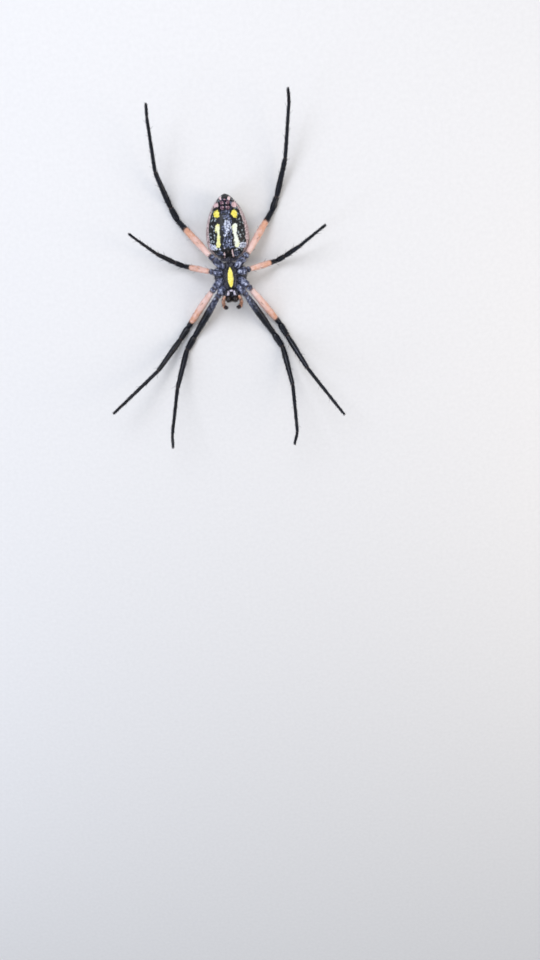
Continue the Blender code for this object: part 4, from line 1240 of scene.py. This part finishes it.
def makePalp(side, sign):
    # a bent tube of four joints, each a ring-shaped dip, swollen at the last and rounded at its tip
    look = mouthLook["palp"]
    node = f"palp_{side}"
    low, high = boxOf(node)[:2]
    inner, outer = (low[0], high[0]) if sign > 0 else (high[0], low[0])
    reach = np.array([outer - inner, low[1] - high[1], high[2] - low[2]])
    share, line = curvePath(np.array([inner, high[1], low[2]]) + reach * look["path"], look["rows"])
    girth = (np.interp(share, *look["girth"]) - coatDepth) * roundEnds(share, 0.05, 0.14)
    dips = sum(bell(share - joint, 0.014) for joint in look["joints"])
    grid = tubeGrid(line, girth, girth, look["columns"], -0.16 * dips[:, None])
    marks = {"tip": (smoothStep(look["darkFrom"], 1, share) * 0.5 + 0.2 * dips - 0.05)[:, None]}
    makeShell(f"{node}_skin", grid, "palp", [node], marks)
    addGrowth(f"{node}_hair", grid, share, mouthLook["palpHair"], "palp", marks=marks)
    addGrowth(f"{node}_spines", grid, share, mouthLook["palpSpine"], "darkHair")


makeLip()
for side, sign in sideSigns.items():
    makeMaxilla(side, sign)
    makeJaw(side, sign)
    makeFang(side, sign)
    makePalp(side, sign)
print("mouth made")


# Hind end and waist: spinnerets, the lobe behind them, the dark belly plate with its tongue, the waist
# tube.

hindLook = {
    "spinneret": {
        "rows": 80, "columns": 48, "radius": {"front": 0.48, "back": 0.42}, "joint": 0.57,
        "sunk": 0.3,  # share of its length by which its foot goes on into the field round it
        "girth": ((0, 0.2, 0.5, 0.62, 0.85, 1), (0.96, 1.0, 0.9, 0.7, 0.48, 0.3)),
    },
    "hair": {"count": 260, "length": 0.26, "vary": 0.3, "width": 0.013, "rise": 30, "curl": 0.1,
             "rings": (10, 60)},
    "spigots": {"count": 70, "length": 0.16, "vary": 0.3, "width": 0.012, "rise": 80, "curl": 0.0,
                "rings": (66, None)},
    "lobe": {"rows": 40, "columns": 36, "top": 0.6, "sunk": 0.18},
    "plate": {"rows": 31, "columns": 72, "height": 0.42, "reach": (0.0314, 1.61206)},
    "waist": {"rows": 70, "columns": 48},
    "waistHair": {"count": 360, "length": 0.32, "vary": 0.4, "width": 0.009, "rise": 28, "curl": 0.1},
}


def makeSpinneret(row, side, sign):
    # a cone in two joints: full to 0.55 of its height, a ring-shaped dip, then a dome that carries the
    # spigots
    look = hindLook["spinneret"]
    node = f"spinneret_{row}_{side}"
    share, line = polePath(node, look["rows"], look["sunk"])
    folds = -0.12 * bell(share - look["joint"], 0.02) + 0.02 * np.sin(share * 60) * (share < 0.5)
    girth = look["radius"][row] * (np.interp(share, *look["girth"]) + folds)
    girth = girth * roundEnds(share, 0.02, 0.2) - coatDepth * 0.5
    grid = tubeGrid(line, girth, girth, look["columns"], top=(0, 1, 0))
    pale = 0.12 * bell(share - look["joint"], 0.035) + 0.2 * smoothStep(0.85, 1, share) - 0.1
    makeShell(f"{node}_skin", grid, "horn", [node], {"tip": pale[:, None]})
    addGrowth(f"{node}_hair", grid, share, hindLook["hair"], "darkHair", (0, 0, 1.0))
    lean = (-sign * 0.2, 0, 1.0)
    addGrowth(f"{node}_spigots", grid, share, hindLook["spigots"], "horn", lean, {"tip": 0.2})


def makeLobe():
    # a small rounded cone with a pale tip
    look = hindLook["lobe"]
    half = boxOf("anal_lobe")[3]
    grid, share = uprightPart("anal_lobe", look["rows"], look["columns"], half[0], half[1], far=look["top"])
    grid[..., 2] -= look["sunk"] * (1 - share)[:, None]
    marks = {"tip": (0.15 * smoothStep(0.75, 1, share) - 0.1)[:, None]}
    makeShell("analLobeSkin", grid, "horn", ["anal_lobe"], marks)


def makeEpigyne():
    # A low oval plate with a rolled rim and two pits, whose rows lie at the sine of an angle from the
    # middle to just past the edge, and a tongue that rises from it and points back.
    look = hindLook["plate"]
    low, high, middle, half = boxOf("epigyne")
    turn = evenTurns(look["columns"])
    out = np.sin(np.linspace(*look["reach"], look["rows"]))[:, None]
    x, y = half[0] * out * np.cos(turn), half[1] * out * np.sin(turn)
    pits = 0.14 * bell(np.hypot(np.abs(x) - 0.26, y + 0.1), 0.13)
    top = low[2] + look["height"] + 0.1 * bell(out - 0.86, 0.1) - pits
    plate = pointsOf(middle[0] + x, middle[1] + y, top)
    skirt = pointsOf(middle[0] + half[0] * np.cos(turn), middle[1] + half[1] * np.sin(turn), low[2])
    stops = ((0, middle[1] - 0.3, low[2] + 0.35), (0, middle[1] - 0.05, high[2] - 0.12),
             (0, middle[1] + 0.3, high[2] - 0.13))
    share, line = curvePath(stops, 40)
    girth = np.interp(share, (0, 0.5, 1), (0.2, 0.16, 0.12)) * roundEnds(share, 0.1, 0.2)
    tongue = tubeGrid(line, girth * 1.1, girth * 0.6, 28)
    shell = np.concatenate([plate, skirt[None]])
    makeJoined("epigyneShell", (shell, tongue), "fang", ["epigyne"])


def makePedicel():
    # the waist: a short tube with three soft folds and a few hairs
    look = hindLook["waist"]
    low, high, middle, half = boxOf("pedicel")
    share = (np.arange(look["rows"]) + 0.5) / look["rows"]
    line = pointsOf(0, low[1] + (high[1] - low[1]) * share, middle[2] - 0.4 * (1 - share) ** 2)
    girth = half[0] * (0.9 + 0.06 * np.cos(share * 6 * np.pi)) * roundEnds(share, 0.5, 0.06)
    grid = tubeGrid(line, girth, girth, look["columns"])
    makeShell("pedicelSkin", grid, "pleura", ["pedicel"])
    addGrowth("pedicelHair", grid, share, hindLook["waistHair"], "greyHair")


for row in ("front", "back"):
    for side, sign in sideSigns.items():
        makeSpinneret(row, side, sign)
makeLobe()
makeEpigyne()
makePedicel()
print("hind end made")


# Studio: the camera looks down and a little forward, the head towards the bottom of the view.

cameraLook = {
    "place": (8.145, -5.504, 159.608),
    "tilt": -16.5, "turn": -3.6,  # degrees
    "lens": 27.75,
}
studio = {
    "floorSize": 3000, "floorColours": ("#dddbd7", "#e6e4e0"),
    "worldColour": "#e8edf7", "worldStrength": 0.7,
    # place, size and power of each soft light
    "lights": {
        "topSheet": {"place": (-60, 120, 230), "size": (200, 110), "power": 0.4, "colour": "#eef2ff"},
        "sideSheet": {"place": (190, -50, 130), "size": (60, 180), "power": 0.17, "colour": "#fff0de"},
        "backSheet": {"place": (-170, -110, 140), "size": (50, 180), "power": 0.13, "colour": "#dbe6ff"},
    },
}


def plainPaper():
    # matt seamless paper under the model: even, with a grain too fine to see
    material, add, place = startMaterial("mattSeamlessPaper")
    shade = add("TexNoise", {"Vector": place, "Scale": perMetre(0.8)})
    endMaterial(add, add("ValToRGB", {"Fac": shade}, zip((0.0, 1.0), studio["floorColours"])), 0.85)
    return material


def addToScene(name, data, place=(0, 0, 0)):
    thing = bpy.data.objects.new(name, data)
    thing.location = Vector(place) * mm
    bpy.context.scene.collection.objects.link(thing)
    return thing


def makeFloor():
    half, level = studio["floorSize"] * mm / 2, cadBox[0][2]
    mesh = bpy.data.meshes.new("floor")
    corners = [(x * half, y * half, level) for x, y in ((-1, -1), (1, -1), (1, 1), (-1, 1))]
    mesh.from_pydata(corners, [], [(0, 1, 2, 3)])
    mesh.materials.append(plainPaper())
    addToScene("floor", mesh)


def makeLights():
    world = bpy.data.worlds.new("softRoom")
    world.use_nodes = True
    background = world.node_tree.nodes["Background"]
    background.inputs["Color"].default_value = toLinear(studio["worldColour"])
    background.inputs["Strength"].default_value = studio["worldStrength"]
    bpy.context.scene.world = world
    for name, look in studio["lights"].items():
        lamp = bpy.data.lights.new(name, "AREA")
        lamp.shape = "RECTANGLE"
        lamp.size, lamp.size_y = look["size"][0] * mm, look["size"][1] * mm
        lamp.energy = look["power"]
        lamp.color = toLinear(look["colour"])[:3]
        holder = addToScene(name, lamp, look["place"])
        holder.rotation_euler = (-holder.location).to_track_quat("-Z", "Y").to_euler()


def makeCamera():
    lens = bpy.data.cameras.new("camera")
    lens.lens = cameraLook["lens"]
    lens.clip_start, lens.clip_end = 0.001, 10
    camera = addToScene("camera", lens, cameraLook["place"])
    camera.rotation_euler = (math.radians(cameraLook["tilt"]), 0, math.radians(cameraLook["turn"]))
    bpy.context.scene.camera = camera


makeFloor()
makeLights()
makeCamera()
bpy.context.scene.view_settings.view_transform = "Standard"  # keeps the markings' full colour
print("studio made")
